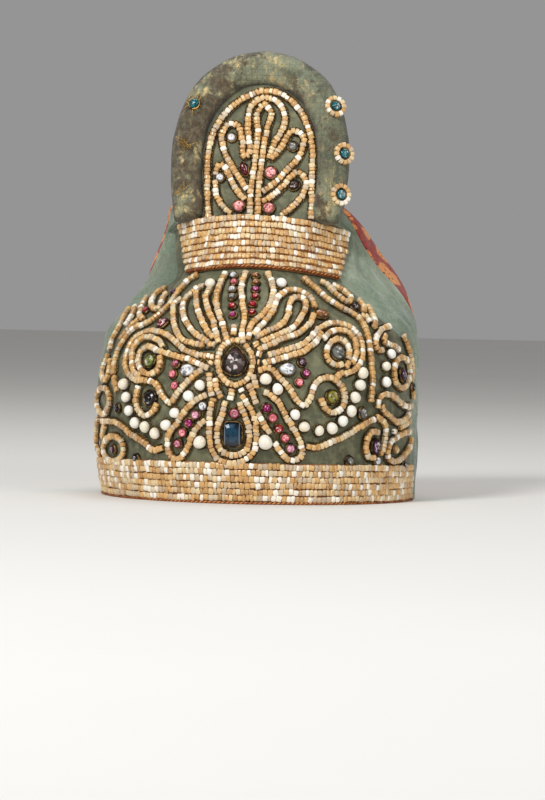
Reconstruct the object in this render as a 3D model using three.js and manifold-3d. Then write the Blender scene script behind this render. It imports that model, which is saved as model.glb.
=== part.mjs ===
// Kokoshnik headdress: a stiff hollow brow front sewn with strings of mother-of-pearl beads,
// glass stones and pearls, a padded hoof-shaped crest standing on it, a beaded collar about the
// foot of the crest, a beaded brow band, silk sides and a printed cotton back.
// Millimetres. The brow faces -Y, +X is the right of the drawing, +Z is up. The rim is at Z = 0.
import * as THREE from "three";
import { mergeVertices } from "three/addons/utils/BufferGeometryUtils.js";
import Module from "manifold-3d";

const wasm = await Module();
wasm.setup();

// Sizes

const GAP = 0.3; // clearance between sewn pieces
const FRONT_SKIN = -2.7; // lift of the brow cloth: the beads on it stand out to the crown surface
const FRONT_WALL = 2.4; // pasteboard and quilted cloth of the brow
const SILK_WALL = 1.5;
const COTTON_WALL = 1.5;
const SEAT = FRONT_SKIN + 0.5; // underside of the woven bands
const BAND_THICK = 2.7;
const STRING_RADIUS = 1.45; // a string of chopped beads
const TAPE = { wide: 1.5, thick: 0.8 }; // gilt tape that ties a row of pearls or stones together
const STRING_SIDES = 8;
const PEARL_SIDES = 10;

const CREST = {
  lean: 12, // degrees back from upright
  foot: new THREE.Vector3(2, -15, 152), // middle of the foot, in the mid plane of the roll
  rollAcross: 9.6, // half the width of the roll as seen from the front
  rollDeep: 8.2, // half its thickness
  panelFront: -1.2, // the beaded panel, measured back from the mid plane
  panelThick: 4.5,
};

// The drawing: the front was measured on squared paper from a point 2.2 m away, 8.2 degrees to
// its side. One square is 0.56 mm at the middle of the crown, counted right and down.
const DRAWING = {
  square: 0.56,
  middle: [272.5, 400],
  anchorSquare: [254, 389],
  anchor: new THREE.Vector3(0, 0, 60),
  turn: 8.2,
  rise: 1.8,
  tilt: 1.1,
  far: 2200,
};

// The crown surface, as level sections: each is a rounded plan shape about (aside, widest).
const CROWN_COLUMNS = ["z", "front", "widest", "half", "back", "pinch", "aside"];
const CROWN = [
  [0, -82, 5, 88.0, 90, -0.02, 3.0],
  [22, -86, 5, 90.0, 93, -0.03, 1.5],
  [55, -88, 5, 91.3, 95, -0.03, 0.0],
  [80, -82, 12, 89.5, 95, 0.0, 1.0],
  [96, -73, 24, 85.8, 93, 0.03, 2.5],
  [112, -59, 38, 77.3, 89, 0.08, 4.3],
  [120, -51, 45, 73.0, 86, 0.12, 4.3],
  [128, -43, 47, 69.5, 82, 0.17, 3.0],
  [136, -37, 45, 65.0, 76, 0.2, 1.6],
  [144, -33, 38, 60.2, 67, 0.2, 0.8],
  [152, -29, 26, 55.8, 52, 0.12, 0.4],
  [160, -25, 6, 50.5, 26, 0.0, 0.2],
  [168, -22, -12, 42.0, -4, -0.1, 0.0],
];

// Plan angles, from the middle of the brow, of the seams between brow, silk and cotton.
const BROW_EDGE = [
  [0, 86], [60, 85], [80, 81], [90, 74], [98, 65.5], [105, 57.5], [115, 51], [124, 45.5],
  [136, 54], [149, 65.5], [154, 67.5],
];
const BACK_SEAM = [
  [0, 124], [40, 117], [70, 109], [90, 101], [104, 91], [118, 80], [127, 73], [136, 71.5],
  [146, 72.5], [156, 74], [168, 75],
];

// Smooth curves through short tables

// Value part way from a to b, leaving and arriving at the given slopes.
function hermite(a, slopeA, b, slopeB, t) {
  const t2 = t * t;
  const t3 = t2 * t;
  return (2 * t3 - 3 * t2 + 1) * a + (t3 - 2 * t2 + t) * slopeA + (3 * t2 - 2 * t3) * b + (t3 - t2) * slopeB;
}

function lookUp(table, x, column) {
  const last = table.length - 1;
  if (x <= table[0][0]) return table[0][column];
  if (x >= table[last][0]) return table[last][column];
  let i = 0;
  while (x > table[i + 1][0]) i++;
  const t = (x - table[i][0]) / (table[i + 1][0] - table[i][0]);
  const slope = (k) => {
    const a = table[Math.max(0, k - 1)];
    const b = table[Math.min(last, k + 1)];
    return (b[column] - a[column]) / (b[0] - a[0]);
  };
  const run = table[i + 1][0] - table[i][0];
  return hermite(table[i][column], slope(i) * run, table[i + 1][column], slope(i + 1) * run, t);
}

function section(z) {
  const values = {};
  CROWN_COLUMNS.forEach((name, column) => {
    values[name] = lookUp(CROWN, z, column);
  });
  return values;
}

function onSection(z, angle) {
  const s = section(z);
  const a = THREE.MathUtils.degToRad(angle);
  const reach = Math.abs(angle) <= 90 ? s.widest - s.front : s.back - s.widest;
  const across = s.half * Math.sin(a) * (1 - s.pinch * Math.cos(a) ** 2);
  return new THREE.Vector3(s.aside + across, s.widest - reach * Math.cos(a), z);
}

// A point of the crown at a plan angle, moved out by lift along the surface normal.
function crown(z, angle, lift = 0) {
  const inside = THREE.MathUtils.clamp(z, 0.05, 167.95);
  const p = onSection(z, angle);
  const du = onSection(inside, angle + 0.5).sub(onSection(inside, angle - 0.5));
  const dv = onSection(Math.min(168, inside + 2), angle).sub(onSection(Math.max(0, inside - 2), angle));
  const n = du.cross(dv).normalize();
  p.addScaledVector(n, lift);
  p.z = Math.max(0, p.z);
  if (z <= 0) p.z = 0;
  return p;
}

// Under 1 inside the crown, 1 on its surface.
function depthValue(p) {
  const s = section(THREE.MathUtils.clamp(p.z, 0, 168));
  const along = (p.y - s.widest) / (p.y < s.widest ? s.widest - s.front : s.back - s.widest);
  const across = (p.x - s.aside) / (s.half * (1 - s.pinch * Math.min(1, along ** 2)));
  return across ** 2 + along ** 2;
}

function insideCrown(p) {
  return p.z > -3 && p.z < 168 && depthValue(p) < 1;
}

const view = (() => {
  const a = THREE.MathUtils.degToRad(DRAWING.turn);
  const e = THREE.MathUtils.degToRad(DRAWING.rise);
  const back = new THREE.Vector3(Math.sin(a) * Math.cos(e), -Math.cos(a) * Math.cos(e), Math.sin(e));
  const right = new THREE.Vector3(Math.cos(a), Math.sin(a), 0);
  const up = back.clone().cross(right);
  const r = THREE.MathUtils.degToRad(DRAWING.tilt);
  const flat = (square) => {
    const x = (square[0] - DRAWING.middle[0]) * DRAWING.square;
    const z = (DRAWING.middle[1] - square[1]) * DRAWING.square;
    return [x * Math.cos(r) - z * Math.sin(r), x * Math.sin(r) + z * Math.cos(r)];
  };
  const [ax, az] = flat(DRAWING.anchorSquare);
  const centre = DRAWING.anchor.clone().addScaledVector(right, -ax).addScaledVector(up, -az);
  const eye = centre.clone().addScaledVector(back, DRAWING.far);
  return { back, right, up, flat, centre, eye };
})();

function ray(square) {
  const [x, z] = view.flat(square);
  const through = view.centre.clone().addScaledVector(view.right, x).addScaledVector(view.up, z);
  return through.sub(view.eye).normalize();
}

// Where a square of the drawing falls on the crown, with the outward normal there.
function crownSpot(square) {
  const d = ray(square);
  const at = (t) => view.eye.clone().addScaledVector(d, t);
  let far = DRAWING.far - 130;
  const end = DRAWING.far + 90;
  while (far < end && !insideCrown(at(far))) far += 1.5;
  if (far >= end) return crownSpot([square[0] + Math.sign(DRAWING.middle[0] - square[0]), square[1]]);
  let near = far - 1.5;
  for (let k = 0; k < 14; k++) {
    const half = (near + far) / 2;
    if (insideCrown(at(half))) far = half;
    else near = half;
  }
  const point = at(far);
  return { point, normal: crownNormal(point) };
}

function crownNormal(p) {
  const step = 1.5;
  const n = new THREE.Vector3();
  for (const axis of ["x", "y", "z"]) {
    const a = p.clone();
    const b = p.clone();
    a[axis] += step;
    b[axis] -= step;
    n[axis] = depthValue(a) - depthValue(b);
  }
  return n.normalize();
}

// The crest has its own flat frame: across, up the slope, and depth to the back.
const crestUp = new THREE.Vector3(
  0,
  Math.sin(THREE.MathUtils.degToRad(CREST.lean)),
  Math.cos(THREE.MathUtils.degToRad(CREST.lean)),
);
const crestBack = new THREE.Vector3(0, crestUp.z, -crestUp.y);

function onCrest(x, h, depth = 0) {
  return CREST.foot.clone().add(new THREE.Vector3(x, 0, 0)).addScaledVector(crestUp, h)
    .addScaledVector(crestBack, depth);
}

function crestSpot(square, depth) {
  const d = ray(square);
  const origin = onCrest(0, 0, depth);
  const t = origin.sub(view.eye).dot(crestBack) / d.dot(crestBack);
  return { point: view.eye.clone().addScaledVector(d, t), normal: crestBack.clone().negate() };
}

// Solids

function solid(geometry) {
  const bare = geometry.clone();
  bare.deleteAttribute("normal");
  bare.deleteAttribute("uv");
  const merged = mergeVertices(bare, 1e-4);
  const made = new wasm.Manifold(
    new wasm.Mesh({
      numProp: 3,
      vertProperties: new Float32Array(merged.attributes.position.array),
      triVerts: new Uint32Array(merged.index.array),
    }),
  );
  return made;
}

// Flattens slivers that a join leaves, within a tenth of a millimetre.
function tidied(body, slack = 0.2) {
  return largest(body.simplify(slack));
}

function joined(solids) {
  return solids.reduce((all, s) => all.add(s));
}

function largest(body) {
  const pieces = body.decompose();
  return pieces.reduce((best, piece) => (piece.volume() > best.volume() ? piece : best));
}

function geometryOf(body) {
  const mesh = body.getMesh();
  const geometry = new THREE.BufferGeometry();
  const positions = new Float32Array(mesh.numVert * 3);
  for (let i = 0; i < mesh.numVert; i++) {
    positions.set(mesh.vertProperties.subarray(i * mesh.numProp, i * mesh.numProp + 3), i * 3);
  }
  geometry.setAttribute("position", new THREE.BufferAttribute(positions, 3));
  geometry.setIndex(new THREE.BufferAttribute(new Uint32Array(mesh.triVerts), 1));
  geometry.computeVertexNormals();
  return geometry;
}

// Rings of points joined in order into a closed skin; the first and last rings are capped.
function ringsSolid(rings) {
  const sides = rings[0].length;
  const positions = [];
  rings.forEach((ring) => ring.forEach((p) => positions.push(p.x, p.y, p.z)));
  const index = [];
  for (let i = 0; i < rings.length - 1; i++) {
    for (let j = 0; j < sides; j++) {
      const a = i * sides + j;
      const b = i * sides + ((j + 1) % sides);
      index.push(a, b, b + sides, a, b + sides, a + sides);
    }
  }
  const last = (rings.length - 1) * sides;
  for (let j = 1; j < sides - 1; j++) {
    index.push(0, j + 1, j);
    index.push(last, last + j, last + j + 1);
  }
  const geometry = new THREE.BufferGeometry();
  geometry.setAttribute("position", new THREE.Float32BufferAttribute(positions, 3));
  geometry.setIndex(index);
  const made = solid(geometry);
  return made.volume() < 0 ? turnedOut(geometry) : made;
}

function turnedOut(geometry) {
  const index = Array.from(geometry.index.array);
  for (let i = 0; i < index.length; i += 3) [index[i + 1], index[i + 2]] = [index[i + 2], index[i + 1]];
  geometry.setIndex(index);
  return solid(geometry);
}

// A sheet with thickness: at(u, v, side) gives its outer face for side 0 and inner face for 1.
function sheetSolid(at, columns, rows) {
  const rings = [];
  for (let i = 0; i <= columns; i++) {
    const ring = [];
    for (let j = 0; j <= rows; j++) ring.push(at(i / columns, j / rows, 0));
    for (let j = rows; j >= 0; j--) ring.push(at(i / columns, j / rows, 1));
    rings.push(ring);
  }
  return sheetRings(rings);
}

// The end rings of a sheet are thin strips, so each is capped as a ladder of its two faces.
function sheetRings(rings) {
  const sides = rings[0].length;
  const half = sides / 2;
  const positions = [];
  rings.forEach((ring) => ring.forEach((p) => positions.push(p.x, p.y, p.z)));
  const index = [];
  for (let i = 0; i < rings.length - 1; i++) {
    for (let j = 0; j < sides; j++) {
      const a = i * sides + j;
      const b = i * sides + ((j + 1) % sides);
      index.push(a, b, b + sides, a, b + sides, a + sides);
    }
  }
  const last = (rings.length - 1) * sides;
  for (let j = 0; j < half - 1; j++) {
    const other = sides - 1 - j;
    index.push(0 + j, other, other - 1, 0 + j, other - 1, j + 1);
    index.push(last + j, last + other - 1, last + other, last + j, last + j + 1, last + other - 1);
  }
  const geometry = new THREE.BufferGeometry();
  geometry.setAttribute("position", new THREE.Float32BufferAttribute(positions, 3));
  geometry.setIndex(index);
  const made = solid(geometry);
  return made.volume() < 0 ? turnedOut(geometry) : made;
}

// A round string bent along points, its ends closed.
function stringSolid(points, radius, step) {
  const path = new THREE.CatmullRomCurve3(points, false, "centripetal");
  const round = new THREE.Shape();
  for (let k = 0; k < STRING_SIDES; k++) {
    const a = (k / STRING_SIDES) * 2 * Math.PI;
    if (k === 0) round.moveTo(radius * Math.cos(a), radius * Math.sin(a));
    else round.lineTo(radius * Math.cos(a), radius * Math.sin(a));
  }
  const steps = Math.max(2, Math.round(path.getLength() / step));
  return solid(new THREE.ExtrudeGeometry(round, { steps, extrudePath: path, bevelEnabled: false }));
}

const STRING_STEP = 9.6; // run of each straight length of a bead string

// A string laid on the brow cloth along squares of the drawing.
function browString(squares, { radius = STRING_RADIUS, step = STRING_STEP, grow = 0 } = {}) {
  const lift = FRONT_SKIN + GAP + 0.1 + radius;
  const points = squares.map((square) => {
    const spot = crownSpot(square);
    return spot.point.addScaledVector(spot.normal, lift);
  });
  return stringSolid(points, radius + grow, step);
}

function crestString(squares, { radius = STRING_RADIUS, step = STRING_STEP, grow = 0 } = {}) {
  const depth = CREST.panelFront - GAP - radius;
  return stringSolid(squares.map((square) => crestSpot(square, depth).point), radius + grow, step);
}

// A ring or part of one, in squares of the drawing.
function oval(centre, across, up, from, to, count) {
  const squares = [];
  for (let k = 0; k <= count; k++) {
    const a = THREE.MathUtils.degToRad(from + ((to - from) * k) / count);
    squares.push([centre[0] + across * Math.cos(a), centre[1] - up * Math.sin(a)]);
  }
  return squares;
}

// Stones and pearls. Each stands on a flat frame: x across, y up the cloth, z out of it.

function frameAt(spot, lift, turn = 0) {
  const z = spot.normal.clone().normalize();
  const y = new THREE.Vector3(0, 0, 1).addScaledVector(z, -z.z).normalize();
  const x = y.clone().cross(z);
  const frame = new THREE.Matrix4().makeBasis(x, y, z);
  frame.setPosition(spot.point.clone().addScaledVector(z, lift));
  return frame.multiply(new THREE.Matrix4().makeRotationZ(THREE.MathUtils.degToRad(turn)));
}

const CUTS = {
  round: (a) => [Math.cos(a), Math.sin(a)],
  pear: (a) => [
    Math.cos(a) * (1 - 0.42 * Math.max(0, Math.sin(a))),
    Math.sin(a) * (1 + 0.1 * Math.sin(a)),
  ],
  marquise: (a) => [Math.cos(a) * (1 - 0.35 * Math.sin(a) ** 2), Math.sin(a)],
  trefoil: (a) => [Math.cos(a) * (1 + 0.14 * Math.sin(3 * a)), Math.sin(a) * (1 + 0.14 * Math.sin(3 * a))],
  emerald: (a) => {
    const m = Math.max(Math.abs(Math.cos(a)), Math.abs(Math.sin(a)));
    return [Math.cos(a) / m * 0.98, Math.sin(a) / m * 0.98];
  },
};

const COLLET_WIDE = 0.9;
const STONE = { girdle: 1.4, table: 2.6 };

// A cut stone in its collet: foot of the collet, girdle, bevel up to a flat table.
function stoneSolid(frame, { cut = "round", across, up, sides = 8, tall = 1, grow = 0 }) {
  const ring = (scale, z, wider) => {
    const points = [];
    for (let k = 0; k < sides; k++) {
      const a = ((k + 0.5) / sides) * 2 * Math.PI;
      const [x, y] = CUTS[cut](a);
      const length = Math.hypot(x * across, y * up) || 1;
      const out = 1 + (wider + grow) / length;
      points.push(new THREE.Vector3(x * across * scale * out, y * up * scale * out, z).applyMatrix4(frame));
    }
    return points;
  };
  const top = STONE.table * tall + grow;
  return ringsSolid([ring(1, -grow, COLLET_WIDE), ring(1, STONE.girdle + grow, 0), ring(0.62, top, 0)]);
}

// A pearl sewn down flat: a ball cut off below its middle.
function pearlSolid(frame, radius, grow = 0) {
  const ring = (r, z) => {
    const points = [];
    for (let k = 0; k < PEARL_SIDES; k++) {
      const a = (k / PEARL_SIDES) * 2 * Math.PI;
      points.push(new THREE.Vector3(r * Math.cos(a), r * Math.sin(a), z).applyMatrix4(frame));
    }
    return points;
  };
  const g = radius + grow;
  return ringsSolid([
    ring(g * 0.85, -grow),
    ring(g, g * 0.6),
    ring(g * 0.5, g * 1.4),
  ]);
}

const browFrame = (square, turn = 0) => frameAt(crownSpot(square), FRONT_SKIN + GAP + 0.1, turn);
const crestFrame = (square, turn = 0) => frameAt(crestSpot(square, CREST.panelFront), GAP, turn);

// Finishes

const finish = (color, roughness, metalness = 0) =>
  new THREE.MeshStandardMaterial({ color, roughness, metalness });
const OLIVE_CLOTH = finish(0x6d6f58, 0.8, 0.1);
const SILK = finish(0xa9b79b, 0.5);
const COTTON = finish(0x8e1c17, 0.85);
const ROLL_CLOTH = finish(0x6f7a66, 0.75, 0.1);
const NACRE = finish(0xcaa67a, 0.35);
const PEARL = finish(0xe9dcc0, 0.3);
const SMOKY = finish(0x8c7f72, 0.12);
const CLEAR = finish(0xb9b4a6, 0.12);
const BLUE = finish(0x1d2c86, 0.12);
const TEAL = finish(0x2f7f82, 0.12);
const PINK = finish(0xc9536f, 0.12);
const RED = finish(0xa3172b, 0.12);
const PLUM = finish(0x4c2148, 0.12);
const DARK = finish(0x201d22, 0.15);
const GREEN = finish(0x3c6b4a, 0.12);
const OLIVE_STONE = finish(0x8e8a3d, 0.12);

// Moves the origin to the floor under the middle of the whole headdress.
const TO_MIDDLE = new THREE.Vector3(-0.34, -2.78, 0);

const group = new THREE.Group();
group.name = "kokoshnik";
group.position.copy(TO_MIDDLE);

function node(name, body, material) {
  const mesh = new THREE.Mesh(geometryOf(body), material);
  mesh.name = name;
  group.add(mesh);
}

// Soft main forms

// The wall of the brow. Its top row turns in over the crown to meet the foot of the crest.
function browWall(grow = 0) {
  const top = 150;
  const rows = 9;
  return sheetSolid((u, v, side) => {
    const z = top * (1 - Math.pow(1 - Math.min(1, (v * rows) / (rows - 1)), 1.35));
    const edge = lookUp(BROW_EDGE, z, 1) + grow;
    const lift = side === 0 ? FRONT_SKIN + grow : FRONT_SKIN - FRONT_WALL - grow;
    const p = crown(z, (2 * u - 1) * edge, lift);
    if (v > 1 - 0.5 / rows) {
      p.z = side === 0 ? top + 1.6 : top - 0.8;
      p.x = CREST.foot.x + (p.x - CREST.foot.x) * 0.8;
      p.y = Math.max(p.y, CREST.foot.y + 2);
    }
    return p;
  }, 16, rows);
}

const CLOTH_TOP = 168;
const CLOTH_ROWS = 11; // silk and cotton share their levels, so that the seam between them is even

function silkSide(hand) {
  return sheetSolid((u, v, side) => {
    const z = CLOTH_TOP * (1 - 1 / CLOTH_ROWS) * v;
    const from = lookUp(BROW_EDGE, z, 1) + 0.4;
    const to = lookUp(BACK_SEAM, z, 1) - 0.3;
    return crown(z, hand * (from + (to - from) * u), -side * SILK_WALL);
  }, 4, CLOTH_ROWS - 1);
}

function cottonBack() {
  return sheetSolid((u, v, side) => {
    const z = CLOTH_TOP * v;
    const from = lookUp(BACK_SEAM, z, 1) + 0.3;
    const angle = from + (180 - from) * 2 * u;
    return crown(z, angle > 180 ? angle - 360 : angle, -side * COTTON_WALL);
  }, 11, CLOTH_ROWS);
}

// Mid line of the padded roll, half an arch from foot to apex: across, up the slope.
const ARCH = [
  [38.2, -1], [40.4, 14], [41.3, 30], [41.0, 46], [37.6, 62], [29.6, 76], [16.5, 86.3], [0, 90],
];
const archPath = new THREE.CatmullRomCurve3(
  [...ARCH, ...ARCH.slice(0, -1).reverse().map(([x, h]) => [-x, h])].map(([x, h]) => new THREE.Vector3(x, h, 0)),
  false,
  "centripetal",
);

function archPoint(t, offset) {
  const p = archPath.getPointAt(t);
  const along = archPath.getTangentAt(t);
  return [p.x + along.y * offset, p.y - along.x * offset];
}

function rollSolid(grow = 0) {
  const steps = 23;
  const sides = 10;
  const rings = [];
  for (let i = 0; i <= steps; i++) {
    const t = i / steps;
    const taper = 1 - 0.1 * Math.pow(Math.abs(2 * t - 1), 6);
    const ring = [];
    for (let k = 0; k < sides; k++) {
      const a = ((k + 0.5) / sides) * 2 * Math.PI;
      const [x, h] = archPoint(t, (CREST.rollAcross + grow) * taper * Math.cos(a));
      ring.push(onCrest(x, h, (CREST.rollDeep + grow) * taper * Math.sin(a)));
    }
    rings.push(ring);
  }
  return ringsSolid(rings);
}

function panelSolid(grow = 0) {
  const steps = 22;
  const inset = CREST.rollAcross + 0.35 - grow;
  const front = [];
  const back = [];
  for (let i = 0; i <= steps; i++) {
    const [x, h] = archPoint(i / steps, -inset);
    front.push(onCrest(x, h, CREST.panelFront - grow));
    back.push(onCrest(x, h, CREST.panelFront + CREST.panelThick + grow));
  }
  return ringsSolid([front, back]);
}

function collarWall(grow = 0) {
  return sheetSolid((u, v, side) => {
    const s = 2 * u - 1;
    const low = 128.6 - 5.2 * s * s - grow;
    const high = 157.4 - 8.0 * s * s + grow;
    const z = low + (high - low) * v;
    const end = 43 + 22 * v + grow * 2;
    const lift = side === 0 ? 0.7 + grow : SEAT + 0.45 - grow;
    return crown(z, s * end, lift);
  }, 12, 3);
}

function browBand(grow = 0) {
  return sheetSolid((u, v, side) => {
    const s = 2 * u - 1;
    const z = v * (22.3 - 2.6 * s * s + grow);
    return crown(z, s * 85.6, side === 0 ? SEAT + BAND_THICK + grow : SEAT - grow);
  }, 16, 1);
}

const crestKeepOut = rollSolid(0.4).add(panelSolid(0.4));
const collarKeepOut = collarWall(0.5);

node("front_shell", largest(browWall().subtract(crestKeepOut)), OLIVE_CLOTH);
node("silk_left", largest(silkSide(-1).subtract(crestKeepOut).subtract(collarKeepOut)), SILK);
node("silk_right", largest(silkSide(1).subtract(crestKeepOut).subtract(collarKeepOut)), SILK);
node("back_panel", largest(cottonBack().subtract(crestKeepOut)), COTTON);
node("crest_roll", rollSolid(), ROLL_CLOTH);
node("crest_panel", panelSolid(), OLIVE_CLOTH);
node("collar_band", largest(collarWall().subtract(crestKeepOut)), NACRE);
node("brow_band", browBand(), NACRE);

// Stones. Places are squares of the drawing, half sizes in millimetres, turns in degrees.

const stoneKeepOuts = [];

function stone(name, square, material, size, onto = browFrame) {
  const frame = onto(square, size.turn);
  frame.multiply(new THREE.Matrix4().makeTranslation(0, 0, -(size.sink ?? 0)));
  const settings = { across: size.r, up: size.r, ...size };
  stoneKeepOuts.push(stoneSolid(frame, { ...settings, grow: 0.3 }));
  node(name, stoneSolid(frame, settings), material);
}

// A flat tape sewn down between two places, which ties the stones or pearls on it together.
function tape(from, to, grow) {
  const end = (frame, along) => {
    const side = along.clone().cross(new THREE.Vector3().setFromMatrixColumn(frame, 2)).normalize();
    const up = new THREE.Vector3().setFromMatrixColumn(frame, 2);
    const at = new THREE.Vector3().setFromMatrixPosition(frame);
    const half = TAPE.wide / 2 + grow;
    return [[-half, -grow], [half, -grow], [half, TAPE.thick + grow], [-half, TAPE.thick + grow]].map(
      ([w, h]) => at.clone().addScaledVector(side, w).addScaledVector(up, h + 0.15),
    );
  };
  const a = browFrame(from);
  const b = browFrame(to);
  const along = new THREE.Vector3().setFromMatrixPosition(b)
    .sub(new THREE.Vector3().setFromMatrixPosition(a));
  return ringsSolid([end(a, along), end(b, along)]);
}

const tapes = (places, grow) => places.slice(1).map((to, k) => tape(places[k], to, grow));

// A row of stones on one tape, fused to it.
function stoneRow(name, places, material, size) {
  const all = (grow) => places.map((square) => stoneSolid(browFrame(square), {
    across: size.r, up: size.r, ...size, grow,
  }));
  stoneKeepOuts.push(joined([...tapes(places, 0.3), ...all(0.3)]));
  node(name, tidied(joined([...tapes(places, 0), ...all(0)])), material);
}

function pearls(name, places, radius) {
  const all = (grow) => places.map((square) => pearlSolid(browFrame(square), radius, grow));
  const made = (grow) => joined([...tapes(places, grow), ...all(grow)]);
  stoneKeepOuts.push(made(0.3));
  node(name, tidied(made(0)), PEARL);
}

stone("centre_drop", [234.3, 361.5], SMOKY, { cut: "pear", across: 6.8, up: 8.2, sides: 12, tall: 1.35 });
stone("blue_stone", [232, 434.6], BLUE, { cut: "emerald", across: 5.2, up: 6.7, tall: 1.3 });
stone("pink_button", [234, 413.5], PINK, { r: 2.4 });
stone("pear_left", [186.5, 369.5], CLEAR, { cut: "pear", across: 3.5, up: 4.6, turn: -90 });
stone("pear_right", [288, 368.5], CLEAR, { cut: "pear", across: 3.5, up: 4.8, turn: 90 });
stone("eye_upper_left", [148.3, 360], GREEN, { r: 3.7 });
stone("eye_lower_left", [148, 398], DARK, { r: 4.2 });
stone("eye_upper_right", [339.5, 351.5], SMOKY, { r: 4.2, sink: 0.6 });
stone("eye_lower_right", [333.8, 397], OLIVE_STONE, { r: 3.8 });
stone("oval_smoky", [322.3, 312.4], SMOKY, { across: 4.2, up: 3.0 });
stone("red_trefoil", [161, 321.5], RED, { cut: "trefoil", across: 3.6, up: 3.6, sides: 12 });
stone("plum_oval_upper", [404.7, 374.6], PLUM, { across: 3.0, up: 3.6 });
stone("plum_oval_lower", [377.7, 447], PLUM, { across: 3.2, up: 4.2 });
stone("grey_oval", [364.5, 413.5], SMOKY, { across: 2.6, up: 3.2 });
stoneRow("stones_row_left", [[202, 406], [194.7, 415], [187.8, 423], [181.4, 433], [176.6, 444]], PINK, {
  r: 2.3,
});
stoneRow("stones_row_right", [[267, 408], [273, 418], [279, 429], [285.5, 438.5], [291, 449]], RED, {
  r: 2.3,
});

stone("crest_silver_upper", [231.9, 138], CLEAR, { r: 2.3 }, crestFrame);
stone("crest_grey_round", [293.3, 147], SMOKY, { r: 2.6 }, crestFrame);
stone("crest_silver_lower", [220.3, 178], CLEAR, { r: 2.3 }, crestFrame);
stone("crest_grey_oval", [294.5, 186], SMOKY, { across: 3.0, up: 2.4, turn: 40 }, crestFrame);
stone("crest_marquise", [244.5, 169.6], RED, { cut: "marquise", across: 2.2, up: 4.0, turn: 20 }, crestFrame);
stone("crest_pink", [271.5, 173], PINK, { r: 2.8 }, crestFrame);
stone("crest_pear_left", [239, 206], PINK, { cut: "pear", across: 2.8, up: 3.3, turn: 180 }, crestFrame);
stone("crest_pear_right", [268.8, 209], PINK, { cut: "pear", across: 2.8, up: 3.3, turn: 180 }, crestFrame);

// Where a square of the drawing falls on the padded roll, with the way out of it there.
function rollSpot(square) {
  let depth = -CREST.rollDeep;
  let spot = null;
  for (let pass = 0; pass < 4; pass++) {
    const rel = crestSpot(square, depth).point.sub(CREST.foot);
    const x = rel.x;
    const h = rel.dot(crestUp);
    let best = { gap: Infinity };
    for (let k = 0; k <= 200; k++) {
      const [cx, ch] = archPoint(k / 200, 0);
      const [ox, oh] = archPoint(k / 200, 1);
      const gap = Math.hypot(x - cx, h - ch);
      if (gap < best.gap) best = { gap, out: [ox - cx, oh - ch], off: (x - cx) * (ox - cx) + (h - ch) * (oh - ch) };
    }
    const a = Math.acos(THREE.MathUtils.clamp(best.off / CREST.rollAcross, -0.8, 0.8));
    const normal = new THREE.Vector3(best.out[0], 0, 0).addScaledVector(crestUp, best.out[1])
      .multiplyScalar(Math.cos(a) / CREST.rollAcross)
      .addScaledVector(crestBack, -Math.sin(a) / CREST.rollDeep)
      .normalize();
    depth = -CREST.rollDeep * Math.sin(a);
    spot = { point: crestSpot(square, depth).point, normal };
  }
  return spot;
}

// Rosettes on the roll: a teal stone with a ring of twelve beads about it. The ring of one is lost.
const ROSETTE = { sides: 12, edge: 5.6, ridge: 4.3, valley: 3.1, girdle: 2.6, table: 1.6 };

function rosette(name, square, ringed) {
  const frame = frameAt(rollSpot(square), GAP - 0.1);
  if (!ringed) {
    node(name, stoneSolid(frame, { across: ROSETTE.girdle, up: ROSETTE.girdle }), TEAL);
    return;
  }
  const ring = (radius, z) => {
    const points = [];
    for (let k = 0; k < ROSETTE.sides; k++) {
      const a = (k / ROSETTE.sides) * 2 * Math.PI;
      points.push(new THREE.Vector3(radius * Math.cos(a), radius * Math.sin(a), z).applyMatrix4(frame));
    }
    return points;
  };
  node(name, ringsSolid([
    ring(ROSETTE.ridge, 0),
    ring(ROSETTE.edge, 1.3),
    ring(ROSETTE.ridge, 2.7),
    ring(ROSETTE.valley, 1.5),
    ring(ROSETTE.girdle, 2.1),
    ring(ROSETTE.table, 3.1),
  ]), TEAL);
}

rosette("rosette_right_upper", [335, 107], true);
rosette("rosette_right_middle", [345.3, 154], true);
rosette("rosette_right_lower", [342.5, 194.4], true);
rosette("roll_stone_left", [194.8, 104], false);

// Pearls, each ringed with gilt cord and tied to the next

pearls("pearls_left", [
  [122.7, 384], [125, 397], [128, 410.6], [134, 423], [144, 427], [154, 433.5], [165, 425], [174, 413],
  [188, 396], [199.4, 385],
], 2.9);
pearls("pearls_right", [
  [265.7, 379], [277.8, 389], [295.6, 414.6], [304.8, 427], [320, 431], [332.6, 428.4], [343.6, 421],
  [352, 411], [356, 397.4], [361, 385], [363.5, 373],
], 2.9);
pearls("pearl_low_left", [[199.4, 442.4]], 3.6);
pearls("pearl_low_right", [[265.3, 442.4]], 3.6);
pearls("pearl_top_left", [[209.8, 282.6]], 2.8);
pearls("pearl_top_right", [[281.7, 281.8]], 2.8);

// Strings of chopped mother-of-pearl beads. Each net is of strings that touch.

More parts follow.
